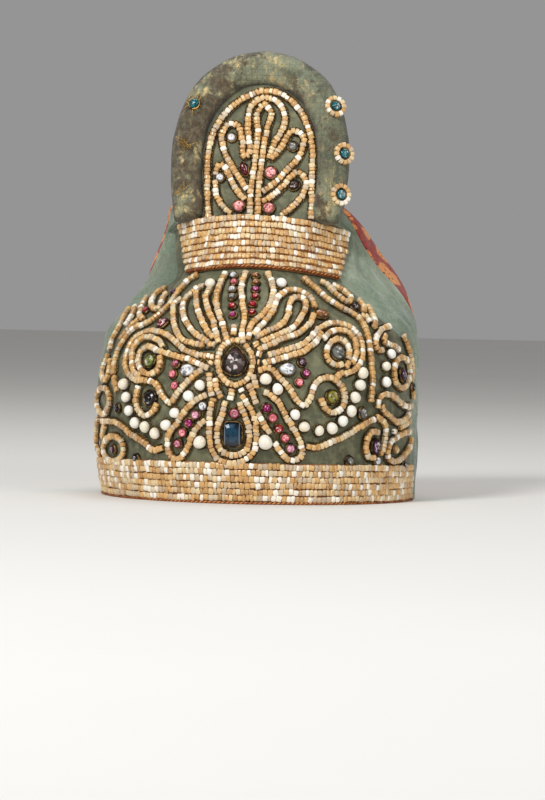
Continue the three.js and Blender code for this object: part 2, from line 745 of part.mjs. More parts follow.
const FAN = [
  [[245.5, 270], [241.6, 284], [242, 300], [244.5, 316], [242, 330], [243, 343]],
  [[225, 271], [218, 287], [216, 304], [221, 319], [227, 340]],
  [[267.5, 271], [273, 284], [272, 299], [264, 312], [252, 323], [247, 343]],
  oval([235, 362], 17.5, 22.5, 60, 425, 12),
];
const PETALS_LEFT = [
  [[218, 342], [213, 321], [207, 306], [205.5, 293], [209, 287], [200, 285], [190, 292], [185.7, 296],
    [182, 305.5], [184, 318], [193, 331], [208, 342]],
  [[181, 297], [173, 303], [172.7, 314], [173.6, 325], [180, 337], [196, 343.5], [215, 344]],
];
const PETALS_RIGHT = [
  [[253, 334], [262, 324], [272, 311], [278, 297], [286, 290], [297, 289], [309, 294.5], [315, 305],
    [311, 321], [299, 332], [283, 338], [268, 345], [257.5, 349]],
];
const SCROLL_LEFT = [
  [[214, 356], [199, 354.5], [184, 349], [166, 334], [149, 330], [133, 338], [125.5, 353], [125, 369],
    [134, 379], [147, 380]],
  [[208, 368], [193, 361], [182, 357], [163, 352], [157, 350]],
  [[212, 366], [198, 371.6], [185, 383], [176, 394], [169, 402.5], [161, 395], [156, 385], [147, 379.5],
    [138, 385], [135, 398], [137, 410], [144, 415.5], [152, 411], [156, 403]],
];
const SCROLL_RIGHT = [
  [[268, 355], [290, 348], [304, 343], [313, 335], [320, 327], [332.5, 322], [346, 324], [357, 331],
    [363, 343], [363, 357], [357, 368], [345, 374]],
  [[263, 363], [288, 355.5], [304, 350.5], [315, 342], [321, 334], [323, 328]],
  [[258, 370], [270, 368], [280, 378], [289, 387.5], [297, 400], [304.5, 406], [311, 397], [315, 385],
    [324, 377.5], [334, 378.5], [343, 387], [346, 397], [342, 408], [333, 413], [325, 407], [321.5, 398]],
  [[334, 378.5], [343, 372], [350, 361]],
];
const BORDER_LEFT = [[[197, 273], [188, 278], [178, 289], [169, 302], [160, 311], [147, 321], [133, 327],
  [121, 341], [114, 357], [112, 374]]];
const BORDER_RIGHT = [
  [[304, 276], [316.5, 287], [329, 298], [342, 306], [355, 313], [364, 322], [369, 335], [371.5, 350],
    [373, 365], [374, 380], [373, 391], [372, 402]],
];
const DROP_LOOPS = [
  [[213, 398], [210, 412], [209, 425], [209, 436], [211.5, 450], [219, 460], [232, 463.5], [245, 460],
    [253, 452], [255.5, 440], [256, 428], [254, 416], [248, 405], [241, 395]],
  [[208, 411], [204, 420], [195, 429], [189, 443], [182, 456], [174, 459.5], [168, 452], [168, 434],
    [176, 423], [190, 404], [206, 394]],
  [[255.4, 409], [260, 417], [265, 426], [271, 434.6], [276, 445], [283, 455], [293, 460.5], [302, 456],
    [301, 443], [295, 431], [288, 420], [277, 400], [264, 391]],
];
const BLUE_FRAME = [[[225, 401], [222, 413], [218.4, 423], [216.5, 435], [218.5, 447], [226, 454],
  [236, 455], [245.5, 451], [249, 440], [248.5, 428], [244, 414], [239, 402]]];
const GARLAND_LEFT = [[[100.7, 421], [115, 422.6], [128, 433], [140.6, 441], [153, 450], [162, 448]]];
const GARLAND_RIGHT = [[[307, 446.5], [318, 447.5], [330, 443], [348, 435], [364, 425], [376, 419]]];
const CREST_BORDER = [[
  [210.5, 206], [208.5, 185], [208.5, 160], [212.5, 138], [221, 121], [234, 106], [248, 97], [264, 92],
  [280, 94], [296, 106], [307, 123], [313, 143], [314, 165], [314, 190], [314.5, 212],
]];
const CREST_SCROLLS = [
  [[250, 213], [251, 189], [254, 168], [257, 146], [258, 130], [257, 114], [264, 104.5], [271, 112],
    [267, 130], [264.5, 143], [262, 160], [259, 184], [257, 213]],
  [[249, 203], [238, 193], [229.5, 180], [222, 166], [215.5, 164], [211.8, 176], [213.3, 197], [223, 209]],
  [[251, 196], [243, 184], [233, 168], [225, 153], [221.6, 137], [228, 124.5], [238, 125.5], [242.3, 141],
    [244, 156], [249.5, 153], [248, 130], [249.5, 109], [256, 101], [266, 97.5], [278, 102], [285, 117],
    [281.5, 131], [274, 144], [270, 158], [281, 148], [292, 131], [303, 136], [300, 155], [287, 170],
    [272, 185], [259, 194]],
  [[259, 203], [272, 196], [283, 186], [297, 172.5], [306, 180], [303, 194], [285, 212]],
];

const keepOut = joined(stoneKeepOuts);
const fixedKeepOut = rollSolid(0.3).add(collarWall(0.3)).add(browBand(0.3));
let laid = null;

function net(name, routes, lay, options = {}) {
  const strings = joined(routes.map((route) => lay(route, options)));
  const wide = joined(routes.map((route) => lay(route, { ...options, grow: 0.3 })));
  let body = strings.subtract(keepOut).subtract(fixedKeepOut);
  if (laid) body = body.subtract(laid);
  laid = laid ? laid.add(wide) : wide;
  node(name, tidied(largest(body)), NACRE);
}

net("fan_strings", FAN, browString);
net("petals_left", PETALS_LEFT, browString);
net("petals_right", PETALS_RIGHT, browString);
net("scroll_left", SCROLL_LEFT, browString);
net("scroll_right", SCROLL_RIGHT, browString);
net("border_left", BORDER_LEFT, browString);
net("border_right", BORDER_RIGHT, browString);
net("drop_loops", DROP_LOOPS, browString);
net("blue_frame", BLUE_FRAME, browString);
net("garland_left", GARLAND_LEFT, browString);
net("garland_right", GARLAND_RIGHT, browString);
net("crest_border", CREST_BORDER, crestString);
net("crest_scrolls", CREST_SCROLLS, crestString, { step: 10 });

export default group;
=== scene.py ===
import logging
import math
from dataclasses import dataclass, field
from enum import Enum
from typing import Any, Callable, Optional, Sequence

import bpy
import numpy as np
from mathutils import Matrix, Vector


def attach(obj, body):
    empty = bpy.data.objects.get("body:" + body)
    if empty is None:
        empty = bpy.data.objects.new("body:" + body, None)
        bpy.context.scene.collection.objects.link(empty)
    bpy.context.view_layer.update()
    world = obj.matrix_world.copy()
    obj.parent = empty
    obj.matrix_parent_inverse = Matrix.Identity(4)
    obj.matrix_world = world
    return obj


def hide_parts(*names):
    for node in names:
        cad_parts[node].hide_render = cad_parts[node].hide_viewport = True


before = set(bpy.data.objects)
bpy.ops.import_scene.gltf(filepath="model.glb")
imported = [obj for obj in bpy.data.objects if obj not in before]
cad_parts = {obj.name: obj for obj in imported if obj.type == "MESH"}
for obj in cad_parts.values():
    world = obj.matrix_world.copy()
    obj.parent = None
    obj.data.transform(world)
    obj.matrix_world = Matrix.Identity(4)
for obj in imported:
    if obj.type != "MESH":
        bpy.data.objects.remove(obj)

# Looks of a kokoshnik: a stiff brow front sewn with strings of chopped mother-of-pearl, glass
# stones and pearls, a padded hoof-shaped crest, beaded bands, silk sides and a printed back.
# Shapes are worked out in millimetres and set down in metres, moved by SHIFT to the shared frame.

Array = np.ndarray
log = logging.getLogger("kokoshnik")
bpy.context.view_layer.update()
SHIFT = np.array((-0.34, -2.78, 0.0))

# Crown sections: z, front, widest, half, back, pinch, aside.
CROWN = (
    (0, -82, 5, 88.0, 90, -0.02, 3.0), (22, -86, 5, 90.0, 93, -0.03, 1.5),
    (55, -88, 5, 91.3, 95, -0.03, 0.0), (80, -82, 12, 89.5, 95, 0.0, 1.0),
    (96, -73, 24, 85.8, 93, 0.03, 2.5), (112, -59, 38, 77.3, 89, 0.08, 4.3),
    (120, -51, 45, 73.0, 86, 0.12, 4.3), (128, -43, 47, 69.5, 82, 0.17, 3.0),
    (136, -37, 45, 65.0, 76, 0.2, 1.6), (144, -33, 38, 60.2, 67, 0.2, 0.8),
    (152, -29, 26, 55.8, 52, 0.12, 0.4), (160, -25, 6, 50.5, 26, 0.0, 0.2),
    (168, -22, -12, 42.0, -4, -0.1, 0.0),
)
# Seams as plan angles by height.
BROW_EDGE = (
    (0, 86), (60, 85), (80, 81), (90, 74), (98, 65.5), (105, 57.5), (115, 51), (124, 45.5),
    (136, 54), (149, 65.5), (154, 67.5),
)
BACK_SEAM = (
    (0, 124), (40, 117), (70, 109), (90, 101), (104, 91), (118, 80), (127, 73), (136, 71.5),
    (146, 72.5), (156, 74), (168, 75),
)
# Half of the roll's mid line: across, up the slope.
ARCH = ((38.2, -1), (40.4, 14), (41.3, 30), (41.0, 46), (37.6, 62), (29.6, 76), (16.5, 86.3), (0, 90))
SKIN_LIFT, WALL, STRING_HALF = -2.7, 2.4, 1.5
SEAT = SKIN_LIFT + 0.5
CROWN_TOP, EDGE = 168, 0.05
# One turn, as rounded when the waves were set; the shapes rest on these digits.
TURN, PHASES = 6.2832, 6.28
FOOT = np.array((2.0, -15.0, 152.0))
LEAN = math.radians(12)
ROLL_ACROSS, ROLL_DEEP, PANEL_FRONT, PANEL_THICK = 9.6, 8.2, -1.2, 4.5


# Numbers and curves


def unit(v: Array) -> Array:
    """Vectors scaled to length one."""
    return v / np.maximum(np.linalg.norm(v, axis=-1, keepdims=True), 1e-12)


def srgb(code: str, alpha: float = 1.0) -> tuple[float, float, float, float]:
    """A screen colour such as "a08050" as linear light."""
    parts = [int(code[i : i + 2], 16) / 255 for i in (0, 2, 4)]
    line = [c / 12.92 if c <= 0.04045 else ((c + 0.055) / 1.055) ** 2.4 for c in parts]
    return (line[0], line[1], line[2], alpha)


@dataclass(frozen=True)
class SmoothTable:
    """Columns joined by cubic pieces whose slopes are central differences."""

    rows: tuple[tuple[float, ...], ...]

    def at(self, x: Array, column: int) -> Array:
        """Value of a column at x, held level past both ends.

        Args:
            x: places along the first column.
            column: which column to read.

        Returns:
            The values, shaped as x.
        """
        table = np.asarray(self.rows, float)
        xs, ys = table[:, 0], table[:, column]
        last = len(xs) - 1
        after = np.minimum(np.arange(last + 1) + 1, last)
        before = np.maximum(np.arange(last + 1) - 1, 0)
        slope = (ys[after] - ys[before]) / (xs[after] - xs[before])
        x = np.clip(x, xs[0], xs[-1])
        i = np.clip(np.searchsorted(xs, x, side="right") - 1, 0, last - 1)
        run = xs[i + 1] - xs[i]
        t = (x - xs[i]) / run
        t2, t3 = t * t, t * t * t
        return (
            (2 * t3 - 3 * t2 + 1) * ys[i] + (t3 - 2 * t2 + t) * slope[i] * run
            + (3 * t2 - 2 * t3) * ys[i + 1] + (t3 - t2) * slope[i + 1] * run
        )


def through(points: Array, fine: int = 14) -> Array:
    """A curve through points: cubic pieces whose slopes weigh each span by the root of its length.

    Args:
        points: rows of coordinates.
        fine: samples in each span.

    Returns:
        Samples along the whole curve, its last point included.
    """
    p = np.vstack([2 * points[0] - points[1], points, 2 * points[-1] - points[-2]])
    a, b, c, d = p[:-3], p[1:-2], p[2:-1], p[3:]
    g0, g1, g2 = (np.maximum(np.linalg.norm(n - m, axis=1), 1e-6)[:, None] ** 0.5 for m,
                  n in ((a, b), (b, c), (c, d)))
    m1 = ((b - a) / g0 - (c - a) / (g0 + g1) + (c - b) / g1) * g1
    m2 = ((c - b) / g1 - (d - b) / (g1 + g2) + (d - c) / g2) * g1
    t = np.linspace(0, 1, fine, endpoint=False)[None, :, None]
    b, c, m1, m2 = b[:, None], c[:, None], m1[:, None], m2[:, None]
    t2, t3 = t * t, t * t * t
    curve = (2 * t3 - 3 * t2 + 1) * b + (t3 - 2 * t2 + t) * m1 + (3 * t2 - 2 * t3) * c + (t3 - t2) * m2
    return np.vstack([curve.reshape(-1, points.shape[1]), points[-1:]])


def run_of(points: Array) -> Array:
    """Distance along a line of points, from its first."""
    return np.concatenate([[0.0], np.cumsum(np.linalg.norm(np.diff(points, axis=0), axis=1))])


def at_run(points: Array, where: Array) -> Array:
    """Points of a line at given distances along it."""
    run = run_of(points)
    return np.stack([np.interp(where, run, points[:, k]) for k in range(points.shape[1])], -1)


def ripple(u: Array, v: Array, across: float, along: float, seed: int) -> Array:
    """Soft unevenness: a sum of eight sine waves of random heading about the given counts.

    Args:
        u: places across, 0 to 1.
        v: places along, 0 to 1.
        across: typical waves over u.
        along: typical waves over v.
        seed: picks the waves.

    Returns:
        Values of about -1 to 1.
    """
    rng = np.random.default_rng(seed)
    total = np.zeros(np.broadcast(u, v).shape)
    for _ in range(8):
        a, b, phase = across * rng.uniform(-1.3, 1.3), along * rng.uniform(0.4, 1.4), rng.uniform(0, PHASES)
        total = total + np.sin(TURN * (a * u + b * v) + phase)
    return total / 3.2


class Crown:
    """The crown surface: level plan shapes of x = aside + half sin a (1 - pinch cos2 a)."""

    levels = SmoothTable(CROWN)

    def plan(self, z: Array, angle: Array) -> Array:
        """Points of the crown at heights z and plan angles in degrees from the middle of the brow."""
        _, widest, half, _, pinch, aside = (self.levels.at(z, c) for c in range(1, 7))
        front, back = self.levels.at(z, 1), self.levels.at(z, 4)
        angle = (angle + 180) % 360 - 180
        a = np.radians(angle)
        reach = np.where(np.abs(angle) <= 90, widest - front, back - widest)
        x = aside + half * np.sin(a) * (1 - pinch * np.cos(a) ** 2)
        return np.stack([x, widest - reach * np.cos(a), z + 0 * x], -1)

    def at(self, z: Array, angle: Array, lift: Array | float = 0.0) -> tuple[Array, Array]:
        """Points moved out along the normal, which is the product of the two surface directions.

        Args:
            z: heights.
            angle: plan angles in degrees.
            lift: distance out of the surface.

        Returns:
            The points and the outward normals.
        """
        z, angle, lift = np.broadcast_arrays(np.asarray(z, float), np.asarray(angle, float), lift)
        inside = np.clip(z, EDGE, CROWN_TOP - EDGE)
        du = self.plan(inside, angle + 0.5) - self.plan(inside, angle - 0.5)
        dv = self.plan(np.minimum(CROWN_TOP, inside + 2), angle) - self.plan(np.maximum(0, inside - 2), angle)
        normal = unit(np.cross(du, dv))
        p = self.plan(z, angle) + normal * lift[..., None]
        p[..., 2] = np.where(z <= 0, 0, np.maximum(0, p[..., 2]))
        return p, normal

    def depth(self, p: Array) -> Array:
        """Under one inside the crown, one on it."""
        z = np.clip(p[..., 2], 0, CROWN_TOP)
        front, widest, half, back, pinch, aside = (self.levels.at(z, c) for c in range(1, 7))
        y = p[..., 1]
        along = (y - widest) / np.where(y < widest, widest - front, back - widest)
        across = (p[..., 0] - aside) / (half * (1 - pinch * np.minimum(1, along**2)))
        return across**2 + along**2

    def normal(self, p: Array) -> Array:
        """Outward normals, from how the depth changes over 1.5 mm to both sides."""
        steps = 1.5 * np.eye(3)
        return unit(np.stack([self.depth(p + s) - self.depth(p - s) for s in steps], -1))


class Drawing:
    """Squares of the measured drawing, and where their sight lines meet the headdress."""

    square, middle, anchor_square, far = 0.56, (272.5, 400.0), (254.0, 389.0), 2200.0

    def __init__(self, crown: Crown) -> None:
        """Sets up the sight lines from the turn, rise and tilt of the drawing."""
        a, e = math.radians(8.2), math.radians(1.8)
        self.crown = crown
        self.roll = math.radians(1.1)
        self.back = np.array((math.sin(a) * math.cos(e), -math.cos(a) * math.cos(e), math.sin(e)))
        self.right = np.array((math.cos(a), math.sin(a), 0.0))
        self.up = np.cross(self.back, self.right)
        x, z = self.flat(np.array([self.anchor_square]))[0]
        self.centre = np.array((0.0, 0.0, 60.0)) - self.right * x - self.up * z
        self.eye = self.centre + self.back * self.far

    def flat(self, squares: Array) -> Array:
        """Squares as millimetres across and up from the middle, turned by the tilt."""
        x = (squares[:, 0] - self.middle[0]) * self.square
        z = (self.middle[1] - squares[:, 1]) * self.square
        c, s = math.cos(self.roll), math.sin(self.roll)
        return np.stack([x * c - z * s, x * s + z * c], -1)

    def rays(self, squares: Array) -> Array:
        """Unit directions from the eye through squares."""
        f = self.flat(squares)
        through_ = self.centre + f[:, :1] * self.right + f[:, 1:] * self.up
        return unit(through_ - self.eye)

    def on_crown(self, squares: Array) -> tuple[Array, Array]:
        """First meeting of each sight line with the crown: steps of 1.5 mm, then halving.

        Args:
            squares: rows of (right, down).

        Returns:
            Points on the crown and outward normals.
        """
        squares = np.array(squares, float)
        ts = np.arange(self.far - 130, self.far + 90, 1.5)
        for _ in range(10):
            d = self.rays(squares)
            p = self.eye + d[:, None] * ts[None, :, None]
            inside = (self.crown.depth(p) < 1) & (p[..., 2] > -3) & (p[..., 2] < 168)
            missed = ~inside.any(1)
            if not missed.any():
                break
            squares[missed, 0] += np.sign(self.middle[0] - squares[missed, 0])
        far = ts[np.argmax(inside, 1)]
        near = far - 1.5
        for _ in range(14):
            half = (near + far) / 2
            hit = self.crown.depth(self.eye + d * half[:, None]) < 1
            far, near = np.where(hit, half, far), np.where(hit, near, half)
        point = self.eye + d * far[:, None]
        return point, self.crown.normal(point)

    def on_crest(self, squares: Array, depth: float) -> tuple[Array, Array]:
        """Meeting of each sight line with a plane of the crest at a depth behind its mid plane."""
        d = self.rays(np.array(squares, float))
        t = (crest_point(0.0, 0.0, depth) - self.eye) @ CREST_BACK / (d @ CREST_BACK)
        return self.eye + d * t[:, None], np.broadcast_to(-CREST_BACK, d.shape)


CREST_UP = np.array((0.0, math.sin(LEAN), math.cos(LEAN)))
CREST_BACK = np.array((0.0, math.cos(LEAN), -math.sin(LEAN)))


def crest_point(x: Array | float, h: Array | float, depth: Array | float = 0.0) -> Array:
    """Point of the crest from across, up the slope and depth."""
    x, h, depth = np.broadcast_arrays(*(np.asarray(k, float) for k in (x, h, depth)))
    return FOOT + x[..., None] * np.array((1.0, 0, 0)) + h[..., None] * CREST_UP + depth[...,
        None] * CREST_BACK


def arch_line(count: int, offset: float = 0.0) -> Array:
    """The roll's mid line from foot to foot, evenly spaced and moved outwards by offset."""
    half = np.array(ARCH, float)
    line = through(np.vstack([half, half[-2::-1] * (-1, 1)]), 30)
    run = run_of(line)
    even = at_run(line, np.linspace(0, run[-1], count))
    along = unit(np.gradient(even, axis=0))
    return even + offset * np.stack([along[:, 1], -along[:, 0]], -1)


CROWN_FORM = Crown()
DRAWING = Drawing(CROWN_FORM)


def brow_edge(z: Array, hand: int) -> Array:
    """Plan angle of the brow's edge: its table, and at the left a bell of 7 degrees about z 108."""
    bell = 7.0 * np.exp(-(((z - 108) / 8) ** 2)) if hand < 0 else 0.0
    return SmoothTable(BROW_EDGE).at(z, 1) + bell


def smooth_step(t: Array) -> Array:
    """0 under 0, 1 over 1, smooth between."""
    t = np.clip(t, 0, 1)
    return t * t * (3 - 2 * t)


# Meshes


class Skin:
    """Gathers closed shells with their texture places and tints, then makes one mesh of them."""

    def __init__(self) -> None:
        """Starts empty."""
        self.points: list[Array] = []
        self.faces: list[list[list[int]]] = []
        self.slots: list[Array] = []
        self.smooth: list[Array] = []
        self.uvs: list[Array] = []
        self.tints: list[Array] = []
        self.count = 0

    def add(self, points: Array, faces: Sequence[Array], material: int = 0, smooth: bool = True,
            uv: Optional[Array] = None, tint: Any = (0.5, 0.0, 0.5, 1.0)) -> None:
        """Adds shells, turned so that their faces point out.

        Args:
            points: corners in millimetres.
            faces: arrays of corner numbers, one array for each count of corners.
            material: place in the piece's list of finishes.
            smooth: whether the faces are shaded round.
            uv: texture place of each corner point.
            tint: four numbers for all, or for each corner point.
        """
        volume = 0.0
        for f in faces:
            a = points[f[:, 0]]
            for k in range(1, f.shape[1] - 1):
                volume += float((a * np.cross(points[f[:, k]], points[f[:, k + 1]])).sum())
        for f in faces:
            turned = f[:, ::-1] if volume < 0 else f
            self.faces.append((turned + self.count).tolist())
            self.slots.append(np.full(len(f), material, np.int32))
            self.smooth.append(np.full(len(f), smooth))
        self.points.append(points)
        self.uvs.append(np.zeros((len(points), 2)) if uv is None else uv)
        self.tints.append(np.broadcast_to(np.asarray(tint, float), (len(points), 4)))
        self.count += len(points)

    def build(self, name: str, materials: Sequence[bpy.types.Material], nodes: Sequence[str] = (),
              slot: Optional[str] = None, edge_angle: Optional[float] = None) -> bpy.types.Object:
        """Makes the piece, set at the origin of the shared frame.

        Args:
            name: the piece's name.
            materials: its finishes.
            nodes: the nodes that it stands for.
            slot: the record's material slot; not used.
            edge_angle: degrees past which an edge is sharp.

        Returns:
            The new object.
        """
        points = (np.vstack(self.points) + SHIFT) * 0.001
        mesh = bpy.data.meshes.new(name)
        mesh.from_pydata(points.tolist(), [], [f for group in self.faces for f in group])
        mesh.polygons.foreach_set("material_index", np.concatenate(self.slots))
        mesh.polygons.foreach_set("use_smooth", np.concatenate(self.smooth))
        corner = np.empty(len(mesh.loops), np.int32)
        mesh.loops.foreach_get("vertex_index", corner)
        layer = mesh.uv_layers.new(name="UVMap")
        layer.uv.foreach_set("vector", np.vstack(self.uvs)[corner].astype(np.float32).ravel())
        colour = mesh.color_attributes.new("tint", "FLOAT_COLOR", "POINT")
        colour.data.foreach_set("color", np.vstack(self.tints).astype(np.float32).ravel())
        if edge_angle is not None:
            mesh.set_sharp_from_angle(angle=math.radians(edge_angle))
        for m in materials:
            mesh.materials.append(m)
        mesh.validate()
        mesh.update()
        piece = bpy.data.objects.new(name, mesh)
        bpy.context.scene.collection.objects.link(piece)
        return seated(piece, nodes)


def seated(piece: bpy.types.Object, nodes: Sequence[str] = ()) -> bpy.types.Object:
    """Rides a piece on the frame, and hides the nodes that it stands for."""
    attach(piece, "root")
    if nodes:
        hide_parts(*nodes)
    log.info("%s: %d faces", piece.name, len(piece.data.polygons))
    return piece


def grid_faces(rows: int, columns: int, start: int = 0) -> Array:
    """Quads of a grid of rows by columns of points."""
    i = (np.arange(rows - 1)[:, None] * columns + np.arange(columns - 1)[None, :]).ravel() + start
    return np.stack([i, i + 1, i + columns + 1, i + columns], -1)


def slab(outer: Array, inner: Array) -> tuple[Array, list[Array]]:
    """Two facing grids joined by a rim round their four edges: outer, inner turned over, rim.

    Args:
        outer: grid of points, rows by columns.
        inner: the same grid on the other face.

    Returns:
        Points and faces.
    """
    rows, columns = outer.shape[:2]
    n = rows * columns
    number = np.arange(n).reshape(rows, columns)
    loop = np.concatenate([number[0, :-1], number[:-1, -1], number[-1, :0:-1], number[:0:-1, 0]])
    after = np.roll(loop, -1)
    rim = np.stack([loop, loop + n, after + n, after], -1)
    faces = [np.vstack([grid_faces(rows, columns), grid_faces(rows, columns, n)[:, ::-1], rim])]
    return np.vstack([outer.reshape(-1, 3), inner.reshape(-1, 3)]), faces


def grid_uv(outer: Array) -> Array:
    """Texture places of a slab in decimetres along its rows and columns, the same on both faces."""
    wide = np.concatenate([[0], np.cumsum(np.linalg.norm(np.diff(outer, axis=1), axis=2).mean(0))])
    tall = np.concatenate([[0], np.cumsum(np.linalg.norm(np.diff(outer, axis=0), axis=2).mean(1))])
    u, v = np.meshgrid(wide / 100, tall / 100)
    one = np.stack([u.ravel(), v.ravel()], -1)
    return np.vstack([one, one])


def area_of(outer: Array) -> float:
    """Area of a grid in square metres, as the sum of its cells' two triangles."""
    a, b, c, d = outer[:-1, :-1], outer[:-1, 1:], outer[1:, 1:], outer[1:, :-1]
    one = np.linalg.norm(np.cross(b - a, c - a), axis=-1).sum()
    two = np.linalg.norm(np.cross(c - a, d - a), axis=-1).sum()
    return float(one + two) / 2 * 1e-6


def tube(line: Array, out: Array, half: Array | float, deep: Array | float, sides: int,
         closed: bool = False, bulge: Optional[Callable[[Array, Array], Array]] = None
         ) -> tuple[Array, list[Array], Array]:
    """An oval carried along a line: centre + half cos a side + deep sin a out.

    Args:
        line: centres.
        out: directions away from the cloth.
        half: half width along the side.
        deep: half width along out.
        sides: points round.
        closed: whether the line ends where it starts.
        bulge: factor of the radius from distance along and angle round.

    Returns:
        Points, faces and texture places (distance in mm, turn round 0 to 1).
    """
    n = len(line)
    along = unit(np.roll(line, -1, 0) - np.roll(line, 1, 0)) if closed else unit(np.gradient(line, axis=0))
    out = unit(out - (out * along).sum(-1, keepdims=True) * along)
    side = np.cross(along, out)
    a = np.arange(sides) / sides * 2 * math.pi
    run = run_of(line)
    scale = np.ones((n, sides)) if bulge is None else bulge(run[:, None], a[None, :])
    half, deep = np.broadcast_to(half, n)[:, None], np.broadcast_to(deep, n)[:, None]
    ring = (scale * half * np.cos(a))[..., None] * side[:, None] + (scale * deep * np.sin(a))[...,
        None] * out[:, None]
    points = (line[:, None] + ring).reshape(-1, 3)
    spans = n if closed else n - 1
    i = np.arange(spans)[:, None] * sides
    j = ((np.arange(spans) + 1) % n)[:, None] * sides
    k, m = np.arange(sides)[None, :], (np.arange(sides)[None, :] + 1) % sides
    faces = [np.stack([i + k, j + k, j + m, i + m], -1).reshape(-1, 4)]
    if not closed:
        cap = np.arange(sides)
        faces.append(np.stack([cap, (n - 1) * sides + cap[::-1]]))
    uv = np.stack(np.broadcast_arrays(run[:, None], a[None, :] / (2 * math.pi)), -1).reshape(-1, 2)
    return points, faces, uv


def framed(shape: Array, centre: Array, axes: Array) -> Array:
    """A unit shape set at each centre on each set of three axes: centre + sum of shape times axis."""
    return centre[:, None] + np.einsum("svk,skc->svc", shape, axes)


@dataclass(frozen=True)
class BeadCut:
    """A chopped bead: a rounded square of eight sides, its two ends cut in a little."""

    ends: tuple[float, ...] = (-1.0, -0.74, 0.74, 1.0)
    scale: tuple[float, ...] = (0.8, 1.0, 1.0, 0.8)
    sides: int = 8

    def shape(self) -> Array:
        """Corner points: each ring is (end, scale sgn cos |cos|^0.7, scale sgn sin |sin|^0.7)."""
        a = (np.arange(self.sides) + 0.5) / self.sides * 2 * math.pi
        c, s = np.cos(a), np.sin(a)
        x, y = np.sign(c) * np.abs(c) ** 0.62, np.sign(s) * np.abs(s) ** 0.62
        rings = [np.stack([np.full(self.sides, e), x * k, y * k], -1) for e, k in zip(self.ends, self.scale)]
        return np.vstack(rings)

    def faces(self, count: int) -> list[Array]:
        """Faces of that many beads laid one after another."""
        k = np.arange(self.sides)
        after = (k + 1) % self.sides
        rings = len(self.ends)
        sides = np.vstack([np.stack([r * self.sides + k, r * self.sides + after, (r + 1) * self.sides + after,
                                     (r + 1) * self.sides + k], -1) for r in range(rings - 1)])
        caps = np.stack([k[::-1], (rings - 1) * self.sides + k])
        step = (np.arange(count) * rings * self.sides)[:, None, None]
        return [(sides + step).reshape(-1, 4), (caps + step).reshape(-1, self.sides)]


@dataclass
class Bead:
    """Beads that are already sewn down, so that later ones keep clear of them."""

    centres: list[Array] = field(default_factory=list)

    def clear(self, points: Array, room: float) -> Array:
        """Whether each point is further than room from every bead that is sewn down."""
        if not self.centres:
            return np.ones(len(points), bool)
        laid = np.vstack(self.centres)
        near = np.full(len(points), 1e9)
        for start in range(0, len(laid), 400):
            gap = np.linalg.norm(points[:, None] - laid[None, start : start + 400], axis=-1)
            near = np.minimum(near, gap.min(1))
        return near > room


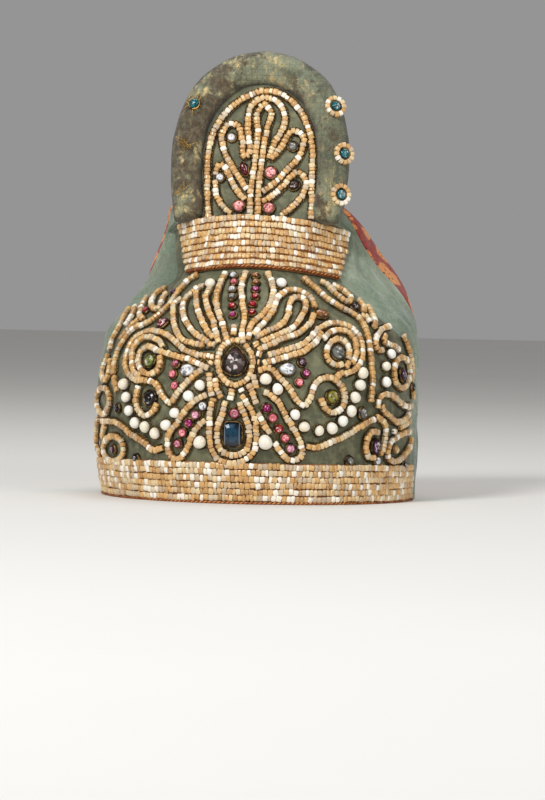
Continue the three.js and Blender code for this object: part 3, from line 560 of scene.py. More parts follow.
@dataclass
class Stringing:
    """Strings beads on lines and lays gilt thread beside them."""

    pitch: float = 2.45
    half_wide: float = 1.7
    half_deep: float = 1.4
    # Share of the palest beads: partly paler nacre, partly a painted glint.
    silver_and_glint: float = 0.13
    cut: BeadCut = BeadCut()

    def string(self, skin: Skin, line: Array, out: Array, rng: np.random.Generator, laid: Bead,
               stones: "Places") -> None:
        """Threads beads of uneven length along a line, where there is room, and lays their core.

        Args:
            skin: where the beads go.
            line: closely spaced centres.
            out: directions away from the cloth.
            rng: source of unevenness.
            laid: beads sewn down before.
            stones: stones and pearls to keep clear of.
        """
        total = run_of(line)[-1]
        count = max(2, int(round(total / self.pitch)))
        sizes = rng.uniform(0.72, 1.28, count)
        sizes *= total / sizes.sum()
        where = np.cumsum(sizes) - sizes / 2
        centre = at_run(line, where)
        normal = unit(at_run_of(out, run_of(line), where))
        ahead = unit(at_run(line, np.minimum(where + 0.6, total)) - at_run(line, np.maximum(where - 0.6, 0)))
        keep = laid.clear(centre, 2.5) & stones.clear(centre)
        for strung in np.split(np.arange(count), np.flatnonzero(np.diff(keep.astype(int))) + 1):
            if keep[strung[0]]:
                first = where[strung[0]] - sizes[strung[0]] / 2
                last = where[strung[-1]] + sizes[strung[-1]] / 2
                self.core(skin, line, out, np.linspace(first, last, 2 + int((last - first) / 1.2)))
        centre, normal, ahead, sizes = (k[keep] for k in (centre, normal, ahead, sizes))
        n = len(centre)
        if n == 0:
            return
        laid.centres.append(centre)
        spin, dip = rng.normal(0, 0.15, n), rng.normal(0, 0.1, n)
        normal = unit(normal - (normal * ahead).sum(-1, keepdims=True) * ahead)
        side = np.cross(normal, ahead)
        ahead2 = unit(ahead + spin[:, None] * side + dip[:, None] * normal)
        normal2 = unit(normal - (normal * ahead2).sum(-1, keepdims=True) * ahead2)
        side2 = np.cross(normal2, ahead2)
        shift = rng.normal(0, 0.15, (n, 1)) * side
        deep = self.half_deep * rng.uniform(0.8, 1.08, n)
        axes = np.stack([
            ahead2 * (sizes / 2 - 0.045)[:, None],
            side2 * (self.half_wide * rng.uniform(0.85, 1.06, n))[:, None],
            normal2 * deep[:, None],
        ], 1)
        shape = np.broadcast_to(self.cut.shape(), (n, self.cut.sides * 4, 3))
        points = framed(shape, centre + shift, axes).reshape(-1, 3)
        # Green flags the palest beads: partly paler nacre, partly a painted glint.
        tint = np.stack([rng.uniform(0, 1, n), rng.uniform(0, 1, n) < self.silver_and_glint, rng.uniform(0, 1, n),
                         np.ones(n)], -1)
        skin.add(points, self.cut.faces(n), 0, True, None, np.repeat(tint, self.cut.sides * 4, 0))

    def core(self, skin: Skin, line: Array, out: Array, where: Array, drop: float = 0.35) -> None:
        """The thread that the beads are strung on, a round tube just under their middle."""
        deep = unit(at_run_of(out, run_of(line), where))
        points, faces, uv = tube(at_run(line, where) - deep * drop, deep, 0.85, 0.8, 5)
        skin.add(points, faces, 1, True, uv)

    def edging(self, skin: Skin, line: Array, out: Array, laid: Bead, stones: "Places",
               away: float = 2.15) -> None:
        """Twisted gilt thread on both sides of a string, left out where beads or stones lie.

        The thread is the line moved sideways by away, cut into the runs that are free.
        """
        run = run_of(line)
        where = np.arange(0.2, run[-1] - 0.2, 0.62)
        if len(where) < 6:
            return
        even, normal = at_run(line, where), unit(at_run_of(out, run, where))
        ahead = unit(np.gradient(even, axis=0))
        side = np.cross(normal, ahead)
        for hand in (-1.0, 1.0):
            path = even + side * hand * away - normal * 1.0
            free = laid.clear(path, 1.93) & stones.clear(path, 0.35)
            for piece in np.split(np.arange(len(path)), np.flatnonzero(np.diff(free.astype(int))) + 1):
                if not free[piece[0]] or len(piece) < 5:
                    continue
                points, faces, uv = tube(path[piece], normal[piece], 0.38, 0.38, 6, False, ply)
                skin.add(points, faces, 2, True, uv)


def at_run_of(values: Array, run: Array, where: Array) -> Array:
    """Values given along a run, read at other distances."""
    return np.stack([np.interp(where, run, values[:, k]) for k in range(values.shape[1])], -1)


def ply(run: Array, turn: Array) -> Array:
    """Two plies laid round each other: the radius swells twice in a turn and winds on every 1.9 mm."""
    return 1 + 0.2 * np.cos(2 * turn - run * 2 * math.pi / 1.9)


@dataclass
class Places:
    """Feet of stones and pearls with the radius of each, so that strings keep clear of them."""

    centres: list[Array] = field(default_factory=list)
    radii: list[float] = field(default_factory=list)

    def note(self, centre: Array, radius: float) -> None:
        """Adds one stone or pearl."""
        self.centres.append(centre)
        self.radii.append(radius)

    def clear(self, points: Array, room: float = 1.25) -> Array:
        """Whether each point is further than room from every stone's edge."""
        if not self.centres:
            return np.ones(len(points), bool)
        gap = np.linalg.norm(points[:, None] - np.array(self.centres)[None],
                             axis=-1) - np.array(self.radii)[None]
        return gap.min(1) > room


def frame_at(normal: Array, turn: float = 0.0) -> Array:
    """Axes x, y up the cloth and z out of it, turned about z, as rows."""
    z = unit(normal)
    y = unit(np.array((0.0, 0.0, 1.0)) - z[2] * z)
    x = np.cross(y, z)
    c, s = math.cos(math.radians(turn)), math.sin(math.radians(turn))
    return np.stack([x * c + y * s, y * c - x * s, z])


# Finishes


class Web:
    """Adds shader nodes to a tree and links them."""

    def __init__(self, tree: bpy.types.NodeTree) -> None:
        """Takes the tree."""
        self.tree = tree

    def add(self, kind: str, inputs: Optional[dict[Any, Any]] = None, **settings: Any) -> bpy.types.Node:
        """One node.

        Args:
            kind: the node's type.
            inputs: socket name or number to a value or a socket to link.
            settings: the node's own options.

        Returns:
            The node.
        """
        made = self.tree.nodes.new(kind)
        for name, value in settings.items():
            setattr(made, name, value)
        for name, value in (inputs or {}).items():
            if isinstance(value, bpy.types.NodeSocket):
                self.tree.links.new(value, made.inputs[name])
            else:
                made.inputs[name].default_value = value
        return made

    def times(self, a: Any, b: Any, clamp: bool = False) -> bpy.types.NodeSocket:
        """Product of two values."""
        return self.sum("MULTIPLY", a, b, clamp)

    def plus(self, a: Any, b: Any, clamp: bool = False) -> bpy.types.NodeSocket:
        """Sum of two values."""
        return self.sum("ADD", a, b, clamp)

    def minus(self, a: Any, b: Any, clamp: bool = False) -> bpy.types.NodeSocket:
        """The first value less the second."""
        return self.sum("SUBTRACT", a, b, clamp)

    def sum(self, operation: str, a: Any, b: Any = 0.0, clamp: bool = False) -> bpy.types.NodeSocket:
        """A Math node's result."""
        return self.add("ShaderNodeMath", {0: a, 1: b}, operation=operation, use_clamp=clamp).outputs[0]

    def mix(self, share: Any, a: Any, b: Any, blend: str = "MIX") -> bpy.types.NodeSocket:
        """Two colours mixed by a share."""
        return self.add("ShaderNodeMix", {0: share, 6: a, 7: b}, data_type="RGBA",
                        blend_type=blend).outputs[2]

    def noise(self, place: Any, scale: Any, detail: float = 3.0, rough: float = 0.55) -> bpy.types.NodeSocket:
        """Noise of about 0 to 1."""
        put = {"Vector": place, "Scale": scale, "Detail": detail, "Roughness": rough}
        return self.add("ShaderNodeTexNoise", put).outputs["Fac"]

    def ramp(self, value: Any, low: float, high: float) -> bpy.types.NodeSocket:
        """0 under low, 1 over high, smooth between."""
        put = {"Value": value, "From Min": low, "From Max": high}
        return self.add("ShaderNodeMapRange", put, interpolation_type="SMOOTHSTEP").outputs["Result"]

    def bump(self, height: Any, strength: float, distance: float) -> bpy.types.NodeSocket:
        """Normal from a height."""
        put = {"Height": height, "Strength": strength, "Distance": distance}
        return self.add("ShaderNodeBump", put).outputs["Normal"]

    def places(self, output: str = "Object") -> bpy.types.NodeSocket:
        """The piece's own coordinates, Object or UV."""
        return self.add("ShaderNodeTexCoord").outputs[output]

    def placed(self, group: bpy.types.NodeTree, inputs: dict[str, Any]) -> bpy.types.Node:
        """A shared effect with its own values; the group is set before its inputs."""
        made = self.tree.nodes.new("ShaderNodeGroup")
        made.node_tree = group
        for name, value in inputs.items():
            if isinstance(value, bpy.types.NodeSocket):
                self.tree.links.new(value, made.inputs[name])
            else:
                made.inputs[name].default_value = value
        return made


def effect(name: str, takes: dict[str, str], gives: dict[str, str],
           fill: Callable[[Web, bpy.types.Node, bpy.types.Node], None]) -> bpy.types.NodeTree:
    """A node group shared by several finishes.

    Args:
        name: the effect's name.
        takes: input names to socket types.
        gives: output names to socket types.
        fill: adds the nodes between the input and output node.

    Returns:
        The group.
    """
    tree = bpy.data.node_groups.new(name, "ShaderNodeTree")
    for label, kind in takes.items():
        tree.interface.new_socket(label, in_out="INPUT", socket_type="NodeSocket" + kind)
    for label, kind in gives.items():
        tree.interface.new_socket(label, in_out="OUTPUT", socket_type="NodeSocket" + kind)
    web = Web(tree)
    fill(web, tree.nodes.new("NodeGroupInput"), tree.nodes.new("NodeGroupOutput"))
    return tree


def fill_weave(web: Web, source: bpy.types.Node, result: bpy.types.Node) -> None:
    """Plain weave: the product and sum of two sine waves, blurred by slubs in the yarn."""
    spot = web.add("ShaderNodeVectorMath", {0: source.outputs["Vector"], "Scale": source.outputs["Threads"]},
                   operation="SCALE").outputs[0]
    part = web.add("ShaderNodeSeparateXYZ", {0: spot})
    warp = web.sum("SINE", web.times(part.outputs[0], TURN))
    weft = web.sum("SINE", web.times(part.outputs[1], TURN))
    both = web.plus(web.times(warp, weft), web.times(web.plus(warp, weft), 0.3))
    slub = web.noise(source.outputs["Vector"], web.times(source.outputs["Threads"], 0.12), 2.0)
    high = web.plus(web.times(both, 0.35), slub)
    web.tree.links.new(high, result.inputs["Height"])
    web.tree.links.new(web.ramp(high, 0.2, 0.9), result.inputs["Mask"])


def fill_grime(web: Web, source: bpy.types.Node, result: bpy.types.Node) -> None:
    """Age: broad stains and fine specks from noise at two scales."""
    place, scale = source.outputs["Vector"], source.outputs["Scale"]
    broad = web.ramp(web.noise(place, scale, 5.0, 0.6), 0.36, 0.68)
    fine = web.ramp(web.noise(place, web.times(scale, 9.0), 4.0, 0.7), 0.4, 0.7)
    web.tree.links.new(broad, result.inputs["Broad"])
    web.tree.links.new(fine, result.inputs["Fine"])


def fill_ply(web: Web, source: bpy.types.Node, result: bpy.types.Node) -> None:
    """Twist: a wave of the distance along plus twice the turn round, for plies laid together."""
    part = web.add("ShaderNodeSeparateXYZ", {0: source.outputs["Vector"]})
    run = web.times(part.outputs[0], source.outputs["Winds"])
    turn = web.times(part.outputs[1], 2.0)
    wave = web.sum("COSINE", web.times(web.minus(turn, run), TURN))
    web.tree.links.new(web.ramp(wave, -0.7, 1.0), result.inputs["Height"])
    web.tree.links.new(web.noise(source.outputs["Vector"], 1.3, 2.0), result.inputs["Mask"])


class Effects:
    """The shared effects, each built once."""

    def __init__(self) -> None:
        """Builds the groups."""
        self.weave = effect("weave", {"Vector": "Vector", "Threads": "Float"},
                            {"Height": "Float", "Mask": "Float"}, fill_weave)
        self.grime = effect("grime", {"Vector": "Vector", "Scale": "Float"},
                            {"Broad": "Float", "Fine": "Float"}, fill_grime)
        self.ply = effect("ply", {"Vector": "Vector", "Winds": "Float"},
                          {"Height": "Float", "Mask": "Float"}, fill_ply)


def surface(name: str) -> tuple[bpy.types.Material, Web, bpy.types.Node]:
    """A new material with its Principled shader."""
    made = bpy.data.materials.new(name)
    made.use_nodes = True
    return made, Web(made.node_tree), made.node_tree.nodes["Principled BSDF"]


def dress(web: Web, shader: bpy.types.Node, values: dict[str, Any]) -> None:
    """Sets or links the shader's sockets by name."""
    for name, value in values.items():
        if isinstance(value, bpy.types.NodeSocket):
            web.tree.links.new(value, shader.inputs[name])
        else:
            shader.inputs[name].default_value = value


@dataclass(frozen=True)
class ClothFinish:
    """Tarnished cloth: three colours by stains and specks, a weave, a faint sheen, and painted shade where
    the tint's green channel is high.
    """

    name: str
    base: str
    stain: str
    worn: str
    threads: float = 150.0
    roughness: float = 0.62
    metallic: float = 0.0
    scale: float = 22.0
    bump: float = 0.35

    def material(self, effects: Effects) -> bpy.types.Material:
        """Builds the finish."""
        made, web, shader = surface(self.name)
        grime = web.placed(effects.grime, {"Vector": web.places(), "Scale": self.scale})
        weave = web.placed(effects.weave, {"Vector": web.places("UV"), "Threads": self.threads})
        colour = web.mix(grime.outputs["Broad"], srgb(self.base), srgb(self.stain))
        colour = web.mix(web.times(grime.outputs["Fine"], 0.5), colour, srgb(self.worn))
        colour = web.mix(web.times(weave.outputs["Mask"], 0.35), colour, srgb(self.worn), "SOFT_LIGHT")
        # Painted shade: the tint's green channel darkens the cloth towards near-black; only the crest panel
        # sets it, next to the roll.
        tint = web.add("ShaderNodeAttribute", attribute_name="tint").outputs["Color"]
        shade = web.add("ShaderNodeSeparateColor", {0: tint}).outputs[1]
        colour = web.mix(web.times(shade, 0.85), colour, srgb("17150f"))
        rough = web.plus(self.roughness - 0.1, web.times(grime.outputs["Broad"], 0.2))
        dress(web, shader, {
            "Base Color": colour, "Roughness": rough, "Metallic": self.metallic, "Sheen Weight": 0.15,
            "Normal": web.bump(weave.outputs["Height"], self.bump, 0.0003),
        })
        return made


@dataclass(frozen=True)
class SilkFinish:
    """Celadon silk: a damask of large and small leaves told only by gloss and a shade of colour, with broad
    patches of painted fold shade.
    """

    name: str = "celadon_silk"
    ground: str = "8b9884"
    leaf: str = "9ba792"
    soil: str = "676a50"

    def material(self, effects: Effects) -> bpy.types.Material:
        """Builds the finish."""
        made, web, shader = surface(self.name)
        place = web.places("UV")
        bent = web.add("ShaderNodeVectorMath", {0: place, 1: web.add(
            "ShaderNodeTexNoise", {"Vector": place, "Scale": 6.0}).outputs["Color"]},
            operation="ADD").outputs[0]
        cells = web.add("ShaderNodeTexVoronoi", {"Vector": bent, "Scale": 7.0},
                        feature="SMOOTH_F1").outputs[0]
        leaf = web.ramp(web.sum("SINE", web.times(cells, 26.0)), -0.1, 0.35)
        grime = web.placed(effects.grime, {"Vector": web.places(), "Scale": 16.0})
        weave = web.placed(effects.weave, {"Vector": place, "Threads": 260.0})
        colour = web.mix(leaf, srgb(self.ground), srgb(self.leaf))
        colour = web.mix(web.times(grime.outputs["Broad"], 0.7), colour, srgb(self.soil))
        edge = web.add("ShaderNodeTexVoronoi", {"Vector": bent, "Scale": 16.0},
                       feature="DISTANCE_TO_EDGE").outputs[0]
        split = web.times(web.minus(1.0, web.ramp(edge, 0.0, 0.05)),
                        web.ramp(web.noise(web.places(), 30.0, 3.0), 0.48, 0.6))
        # Painted shade: broad noise patches stand in for the shadows of folds and darken the silk towards
        # 4d6556.
        fold = web.ramp(web.noise(web.places(), 24.0, 2.0), 0.42, 0.66)
        colour = web.mix(web.times(fold, 0.4), colour, srgb("4d6556"))
        colour = web.mix(web.times(split, 0.6), colour, srgb("39453a"))
        high = web.plus(web.times(leaf, 0.5), web.times(weave.outputs["Height"], 0.4))
        dress(web, shader, {
            "Base Color": colour, "Roughness": web.minus(0.5, web.times(leaf, 0.16)),
            "Sheen Weight": 0.3, "Sheen Roughness": 0.35, "Normal": web.bump(high, 0.3, 0.0003),
        })
        return made


@dataclass(frozen=True)
class PrintFinish:
    """Madder cotton printed with peach curls and dark dots: distance to scattered points, banded."""

    name: str = "printed_cotton"
    ground: str = "981f17"
    curl: str = "e4934c"
    dot: str = "35100f"
    fade: str = "a2342a"

    def material(self, effects: Effects) -> bpy.types.Material:
        """Builds the finish."""
        made, web, shader = surface(self.name)
        place = web.places("UV")
        bent = web.add("ShaderNodeVectorMath", {0: place, 1: web.add("ShaderNodeVectorMath", {0: web.add(
            "ShaderNodeTexNoise", {"Vector": place, "Scale": 5.0}).outputs["Color"], "Scale": 0.16},
            operation="SCALE").outputs[0]}, operation="ADD").outputs[0]
        far = web.add("ShaderNodeTexVoronoi", {"Vector": bent, "Scale": 5.5},
                      feature="F1").outputs["Distance"]
        ring = web.sum("ABSOLUTE", web.minus(far, 0.33))
        curl = web.minus(1.0, web.ramp(ring, 0.12, 0.16))
        small = web.add("ShaderNodeTexVoronoi", {"Vector": place, "Scale": 34.0, "Randomness": 0.45},
                        feature="F1").outputs["Distance"]
        dots = web.minus(1.0, web.ramp(small, 0.2, 0.27))
        heart = web.minus(1.0, web.ramp(far, 0.1, 0.14))
        grime = web.placed(effects.grime, {"Vector": web.places(), "Scale": 14.0})
        weave = web.placed(effects.weave, {"Vector": place, "Threads": 120.0})
        colour = web.mix(grime.outputs["Broad"], srgb(self.ground), srgb(self.fade))
        colour = web.mix(web.sum("MAXIMUM", curl, heart), colour, srgb(self.curl))
        colour = web.mix(web.times(dots, 0.85), colour, srgb(self.dot))
        colour = web.mix(web.times(grime.outputs["Fine"], 0.18), colour, srgb("c9a58a"))
        dress(web, shader, {
            "Base Color": colour, "Roughness": 0.85, "Sheen Weight": 0.12,
            "Normal": web.bump(weave.outputs["Height"], 0.4, 0.0003),
        })
        return made


@dataclass(frozen=True)
class RollFinish:
    """Worn grey-green metal cloth: rubbed straw streaks, brown patches, a faint diaper of scales, and painted
    shade on its rear half and sides.
    """

    name: str = "roll_cloth"
    ground: str = "828a72"
    shade: str = "474e3c"
    brown: str = "432b14"
    straw: str = "d3bd84"

    def material(self, effects: Effects) -> bpy.types.Material:
        """Builds the finish."""
        made, web, shader = surface(self.name)
        place = web.places()
        grime = web.placed(effects.grime, {"Vector": place, "Scale": 30.0})
        fine = web.placed(effects.weave, {"Vector": place, "Threads": 1500.0})
        part = web.add("ShaderNodeSeparateXYZ", {0: place})
        drawn = web.add("ShaderNodeCombineXYZ", {0: part.outputs[0], 1: web.times(part.outputs[1], 0.5),
                                                 2: web.times(part.outputs[2], 0.45)}).outputs[0]
        bent = web.add("ShaderNodeVectorMath", {0: drawn, 1: web.add("ShaderNodeVectorMath", {0: web.add(
            "ShaderNodeTexNoise", {"Vector": place, "Scale": 60.0}).outputs["Color"], "Scale": 0.012},
            operation="SCALE").outputs[0]}, operation="ADD").outputs[0]
        streak = web.ramp(web.noise(bent, 360.0, 8.0, 0.78), 0.44, 0.6)
        left = web.ramp(web.times(part.outputs[0], -1.0), -0.03, 0.035)
        where = web.ramp(web.plus(web.noise(place, 40.0, 4.0, 0.6), web.times(left, 0.1)), 0.44, 0.58)
        burnt = web.ramp(web.plus(web.noise(place, 56.0, 7.0, 0.72), web.times(left, 0.11)), 0.52, 0.6)
        scales = web.add("ShaderNodeTexVoronoi", {"Vector": place, "Scale": 330.0, "Randomness": 0.12},
                         feature="DISTANCE_TO_EDGE").outputs["Distance"]
        net = web.minus(1.0, web.ramp(scales, 0.03, 0.12))
        colour = web.mix(grime.outputs["Broad"], srgb(self.ground), srgb(self.shade))
        colour = web.mix(web.times(net, 0.3), colour, srgb(self.shade))
        colour = web.mix(web.times(streak, web.plus(0.2, web.times(where, 0.8))), colour,
                         srgb(self.straw))
        colour = web.mix(web.times(burnt, 0.85), colour, srgb(self.brown))
        colour = web.mix(web.times(grime.outputs["Fine"], 0.35), colour, srgb("a29e80"))
        # Painted shade: from 6 mm in front of the crest's mid plane backwards, the roll is darkened towards
        # 24231a.
        behind = web.minus(web.times(part.outputs[1], math.cos(LEAN)),
                         web.times(part.outputs[2], math.sin(LEAN)))
        middle = float((FOOT + SHIFT) @ CREST_BACK) * 0.001
        colour = web.mix(web.times(web.ramp(behind, middle - 0.006, middle - 0.001), 0.62), colour,
                         srgb("24231a"))
        mottle = web.noise(place, 90.0, 6.0, 0.7)
        colour = web.mix(web.times(web.ramp(mottle, 0.48, 0.64), 0.6), colour, srgb("393c2b"))
        high = web.plus(web.times(web.ramp(scales, 0.02, 0.16), 0.5),
                       web.plus(web.times(fine.outputs["Height"], 0.2),
                               web.plus(web.times(streak, 0.5),
                                       web.times(mottle, 0.9))))
        dress(web, shader, {
            "Base Color": colour, "Metallic": web.times(streak, 0.25),
            "Roughness": web.minus(0.66, web.times(streak, 0.16)),
            "Sheen Weight": 0.2, "Normal": web.bump(high, 0.7, 0.0006),
        })
        return made


@dataclass(frozen=True)
class NacreFinish:
    """Chopped mother-of-pearl: honey, tan and ivory by bead, the palest ones partly silvery nacre and partly
    a painted glint, growth lines.
    """

    name: str = "nacre"
    deep: str = "b3854b"
    honey: str = "dbab66"
    ivory: str = "ead6ab"
    silver_and_glint: str = "fff7e8"

    def material(self, effects: Effects) -> bpy.types.Material:
        """Builds the finish from each bead's tint: red is honey to ivory, green flags the palest beads,
        partly paler nacre and partly a painted glint.
        """
        made, web, shader = surface(self.name)
        tint = web.add("ShaderNodeAttribute", attribute_name="tint").outputs["Color"]
        part = web.add("ShaderNodeSeparateColor", {0: tint})
        place = web.places()
        lines = web.noise(place, 900.0, 3.0, 0.6)
        cloud = web.noise(place, 260.0, 2.0)
        mixed = web.mix(web.ramp(part.outputs[0], 0.0, 0.55), srgb(self.deep), srgb(self.honey))
        mixed = web.mix(web.ramp(part.outputs[0], 0.5, 1.0), mixed, srgb(self.ivory))
        mixed = web.mix(web.times(web.ramp(cloud, 0.4, 0.7), 0.45), mixed, srgb(self.honey))
        mixed = web.mix(web.times(web.ramp(part.outputs[2], 0.7, 0.85), 0.6), mixed, srgb("c4b8a4"))
        # Painted glint: flagged beads go to the palest colour, partly as paler nacre.
        mixed = web.mix(web.times(part.outputs[1], 0.92), mixed, srgb(self.silver_and_glint))
        mixed = web.mix(web.times(web.ramp(lines, 0.45, 0.75), 0.25), mixed, srgb("fff2d8"))
        rough = web.plus(0.24, web.times(part.outputs[2], 0.26))
        dress(web, shader, {
            "Base Color": mixed, "Roughness": rough, "Specular IOR Level": 0.65, "Coat Weight": 0.25,
            "Coat Roughness": 0.16, "Subsurface Weight": 0.12, "Subsurface Radius": (0.0012, 0.0009, 0.0006),
            "Subsurface Scale": 1.0, "Normal": web.bump(lines, 0.2, 0.0001),
        })
        return made


@dataclass(frozen=True)
class ThreadFinish:
    """Twisted thread: dark between the plies and bright on them, painted shade and a painted highlight over
    the thread's own colours.
    """

    name: str
    dark: str
    bright: str
    winds: float = 0.55
    metallic: float = 0.7
    roughness: float = 0.38

    def material(self, effects: Effects) -> bpy.types.Material:
        """Builds the finish."""
        made, web, shader = surface(self.name)
        twist = web.placed(effects.ply, {"Vector": web.places("UV"), "Winds": self.winds})
        age = web.noise(web.places(), 160.0, 3.0)
        # Painted shade and highlight: grooves between the plies take the dark colour, their crowns the bright
        # one.
        share = web.times(twist.outputs["Height"], web.ramp(age, 0.3, 0.6), True)
        dress(web, shader, {
            "Base Color": web.mix(share, srgb(self.dark), srgb(self.bright)),
            "Metallic": self.metallic, "Roughness": self.roughness,
            "Normal": web.bump(twist.outputs["Height"], 0.5, 0.0003),
        })
        return made


@dataclass(frozen=True)
class GlassFinish:
    """Foil-backed glass: the stone's own tint, with painted reflections and painted shade on its facets and a
    faint painted glow.
    """

    name: str = "foiled_glass"

    def material(self, effects: Effects) -> bpy.types.Material:
        """Builds the finish.

        Facets are ten wedges in each of four rings of the plan, each with its own chance of painted shade,
        plain tint or a painted flash of reflection; a long stone has a painted light streak of reflection
        down each side instead.
        """
        made, web, shader = surface(self.name)
        source = web.add("ShaderNodeAttribute", attribute_name="tint")
        tint, lot = source.outputs["Color"], source.outputs["Alpha"]
        part = web.add("ShaderNodeSeparateXYZ", {0: web.places("UV")})
        x, y = part.outputs[0], part.outputs[1]
        turn = web.times(web.plus(web.sum("ARCTAN2", y, x), 3.1416), 10 / TURN)
        far = web.sum("SQRT", web.plus(web.times(x, x), web.times(y, y)))
        ring = web.sum("FLOOR", web.times(far, 3.4))
        wedge = web.sum("FLOOR", web.plus(turn, web.times(ring, 0.5)))
        spot = web.add("ShaderNodeCombineXYZ", {0: wedge, 1: ring, 2: web.times(lot, 97.0)}).outputs[0]
        facet = web.add("ShaderNodeTexWhiteNoise", {"Vector": spot}, noise_dimensions="3D").outputs["Value"]
        long = web.sum("GREATER_THAN", lot, 1.5)
        aside = web.sum("ABSOLUTE", x)
        streak = web.times(web.ramp(aside, 0.7, 0.74), web.minus(1.0, web.ramp(aside, 0.78, 0.84)))
        # Painted reflection: the lower end of a long stone is lightened.
        painted_low_sheen = web.times(web.minus(1.0, web.ramp(web.plus(y, 0.8), 0.1, 0.9)), 0.07)
        # Painted reflections: a share of the facets, and streaks on long stones, go towards a light tint.
        painted_flash = web.times(web.ramp(facet, 0.72, 0.86), web.minus(1.0, web.ramp(far, 0.62, 0.8)))
        painted_flash = web.plus(web.times(painted_flash, web.minus(1.0, long)),
                        web.times(long, web.plus(web.times(streak, 0.3), painted_low_sheen)), True)
        # Painted shade: the other facets go dark.
        painted_lit_share = web.times(web.ramp(facet, 0.0, 0.5), web.minus(1.0, web.ramp(far, 0.72, 1.0)))
        dark = web.mix(0.86, tint, (0.0, 0.0, 0.0, 1.0))
        light = web.mix(0.5, tint, (1.0, 0.93, 0.92, 1.0))
        colour = web.mix(painted_lit_share, dark, tint)
        colour = web.mix(web.times(painted_flash, 0.9), colour, light)
        dress(web, shader, {
            "Base Color": colour, "Metallic": 0.15, "Roughness": 0.2,
            "Coat Weight": 0.12, "Coat Roughness": 0.05, "Specular IOR Level": 0.22,
            # Painted glow: the stone emits its own colour, though it is no lamp.
            "Emission Color": colour, "Emission Strength": 0.22,
            "Normal": web.bump(facet, 0.12, 0.0001),
        })
        return made


@dataclass(frozen=True)
class ColletFinish:
    """Blackened brass cups that hold the stones, with rubbed rims."""

    name: str = "collet_brass"

    def material(self, effects: Effects) -> bpy.types.Material:
        """Builds the finish."""
        made, web, shader = surface(self.name)
        age = web.noise(web.places(), 400.0, 4.0, 0.7)
        dress(web, shader, {
            "Base Color": web.mix(web.ramp(age, 0.4, 0.66), srgb("2a2019"), srgb("a5834c")),
            "Metallic": 0.8, "Roughness": web.plus(0.3, web.times(age, 0.3)),
            "Normal": web.bump(age, 0.4, 0.0002),
        })
        return made


@dataclass(frozen=True)
class PearlFinish:
    """Ivory pearls: cream and yellowish clouds under a soft skin."""

    name: str = "pearl"

    def material(self, effects: Effects) -> bpy.types.Material:
        """Builds the finish from each pearl's tint."""
        made, web, shader = surface(self.name)
        tint = web.add("ShaderNodeAttribute", attribute_name="tint").outputs["Color"]
        part = web.add("ShaderNodeSeparateColor", {0: tint})
        cloud = web.noise(web.places(), 240.0, 4.0)
        colour = web.mix(part.outputs[0], srgb("efe6d0"), srgb("fbf8f0"))
        colour = web.mix(web.times(web.ramp(cloud, 0.56, 0.74), 0.6), colour, srgb("d8b87c"))
        dress(web, shader, {
            "Base Color": colour, "Roughness": 0.3, "Coat Weight": 0.4, "Coat Roughness": 0.12,
            "Subsurface Weight": 0.2, "Subsurface Radius": (0.002, 0.0015, 0.001), "Subsurface Scale": 1.0,
            "Sheen Weight": 0.1, "Normal": web.bump(cloud, 0.15, 0.0002),
        })
        return made


class Glass(Enum):
    """Colours of the stones."""

    CLEAR = "d6d6d8"
    SMOKY = "3d2c27"
    BLUE = "083449"
    PINK = "e0707c"
    ROSE = "b05566"
    MAGENTA = "9c1260"
    RED = "a81020"
    PALE = "d98fa6"
    AMBER = "8f5a24"
    PLUM = "43173a"
    NAVY = "101a30"
    GREEN = "7a8240"
    GARNET = "640c1a"
    SALMON = "ea8f8a"
    OLIVE = "80782c"
    DARK = "1c1a19"
    TEAL = "14686e"
    GREY = "6e6e68"


class Wardrobe:
    """Every finish of the headdress, each built once."""

    def __init__(self) -> None:
        """Builds the finishes."""
        effects = Effects()
        self.brow = ClothFinish("brow_cloth", "6c6e54", "484a36", "9c9874", 190.0, 0.55,
                                0.15).material(effects)
        self.board = ClothFinish("lining", "8a7a5e", "6f6048", "a5977a", 110.0, 0.85).material(effects)
        self.backing = ClothFinish("bead_backing", "a0622c", "7c4822", "bd8747", 160.0, 0.8).material(effects)
        self.silk = SilkFinish().material(effects)
        self.cotton = PrintFinish().material(effects)
        self.roll = RollFinish().material(effects)
        self.nacre = NacreFinish().material(effects)
        self.string = ThreadFinish("bead_string", "6a3c1c", "b06c34", 0.9, 0.0, 0.8).material(effects)
        # The gilt thread's near-black dark colour is partly the thread's own and partly painted shade round
        # each string.
        self.gilt = ThreadFinish("gilt_thread", "20170b", "94743c").material(effects)
        self.loose = ThreadFinish("loose_gold", "8a6428", "e6c679", 0.5, 0.3, 0.5).material(effects)
        self.cord = ThreadFinish("stitched_cord", "7c2f16", "d79a4a", 0.4, 0.3, 0.5).material(effects)
        self.glass = GlassFinish().material(effects)
        self.collet = ColletFinish().material(effects)
        self.pearl = PearlFinish().material(effects)


# Sub-assemblies


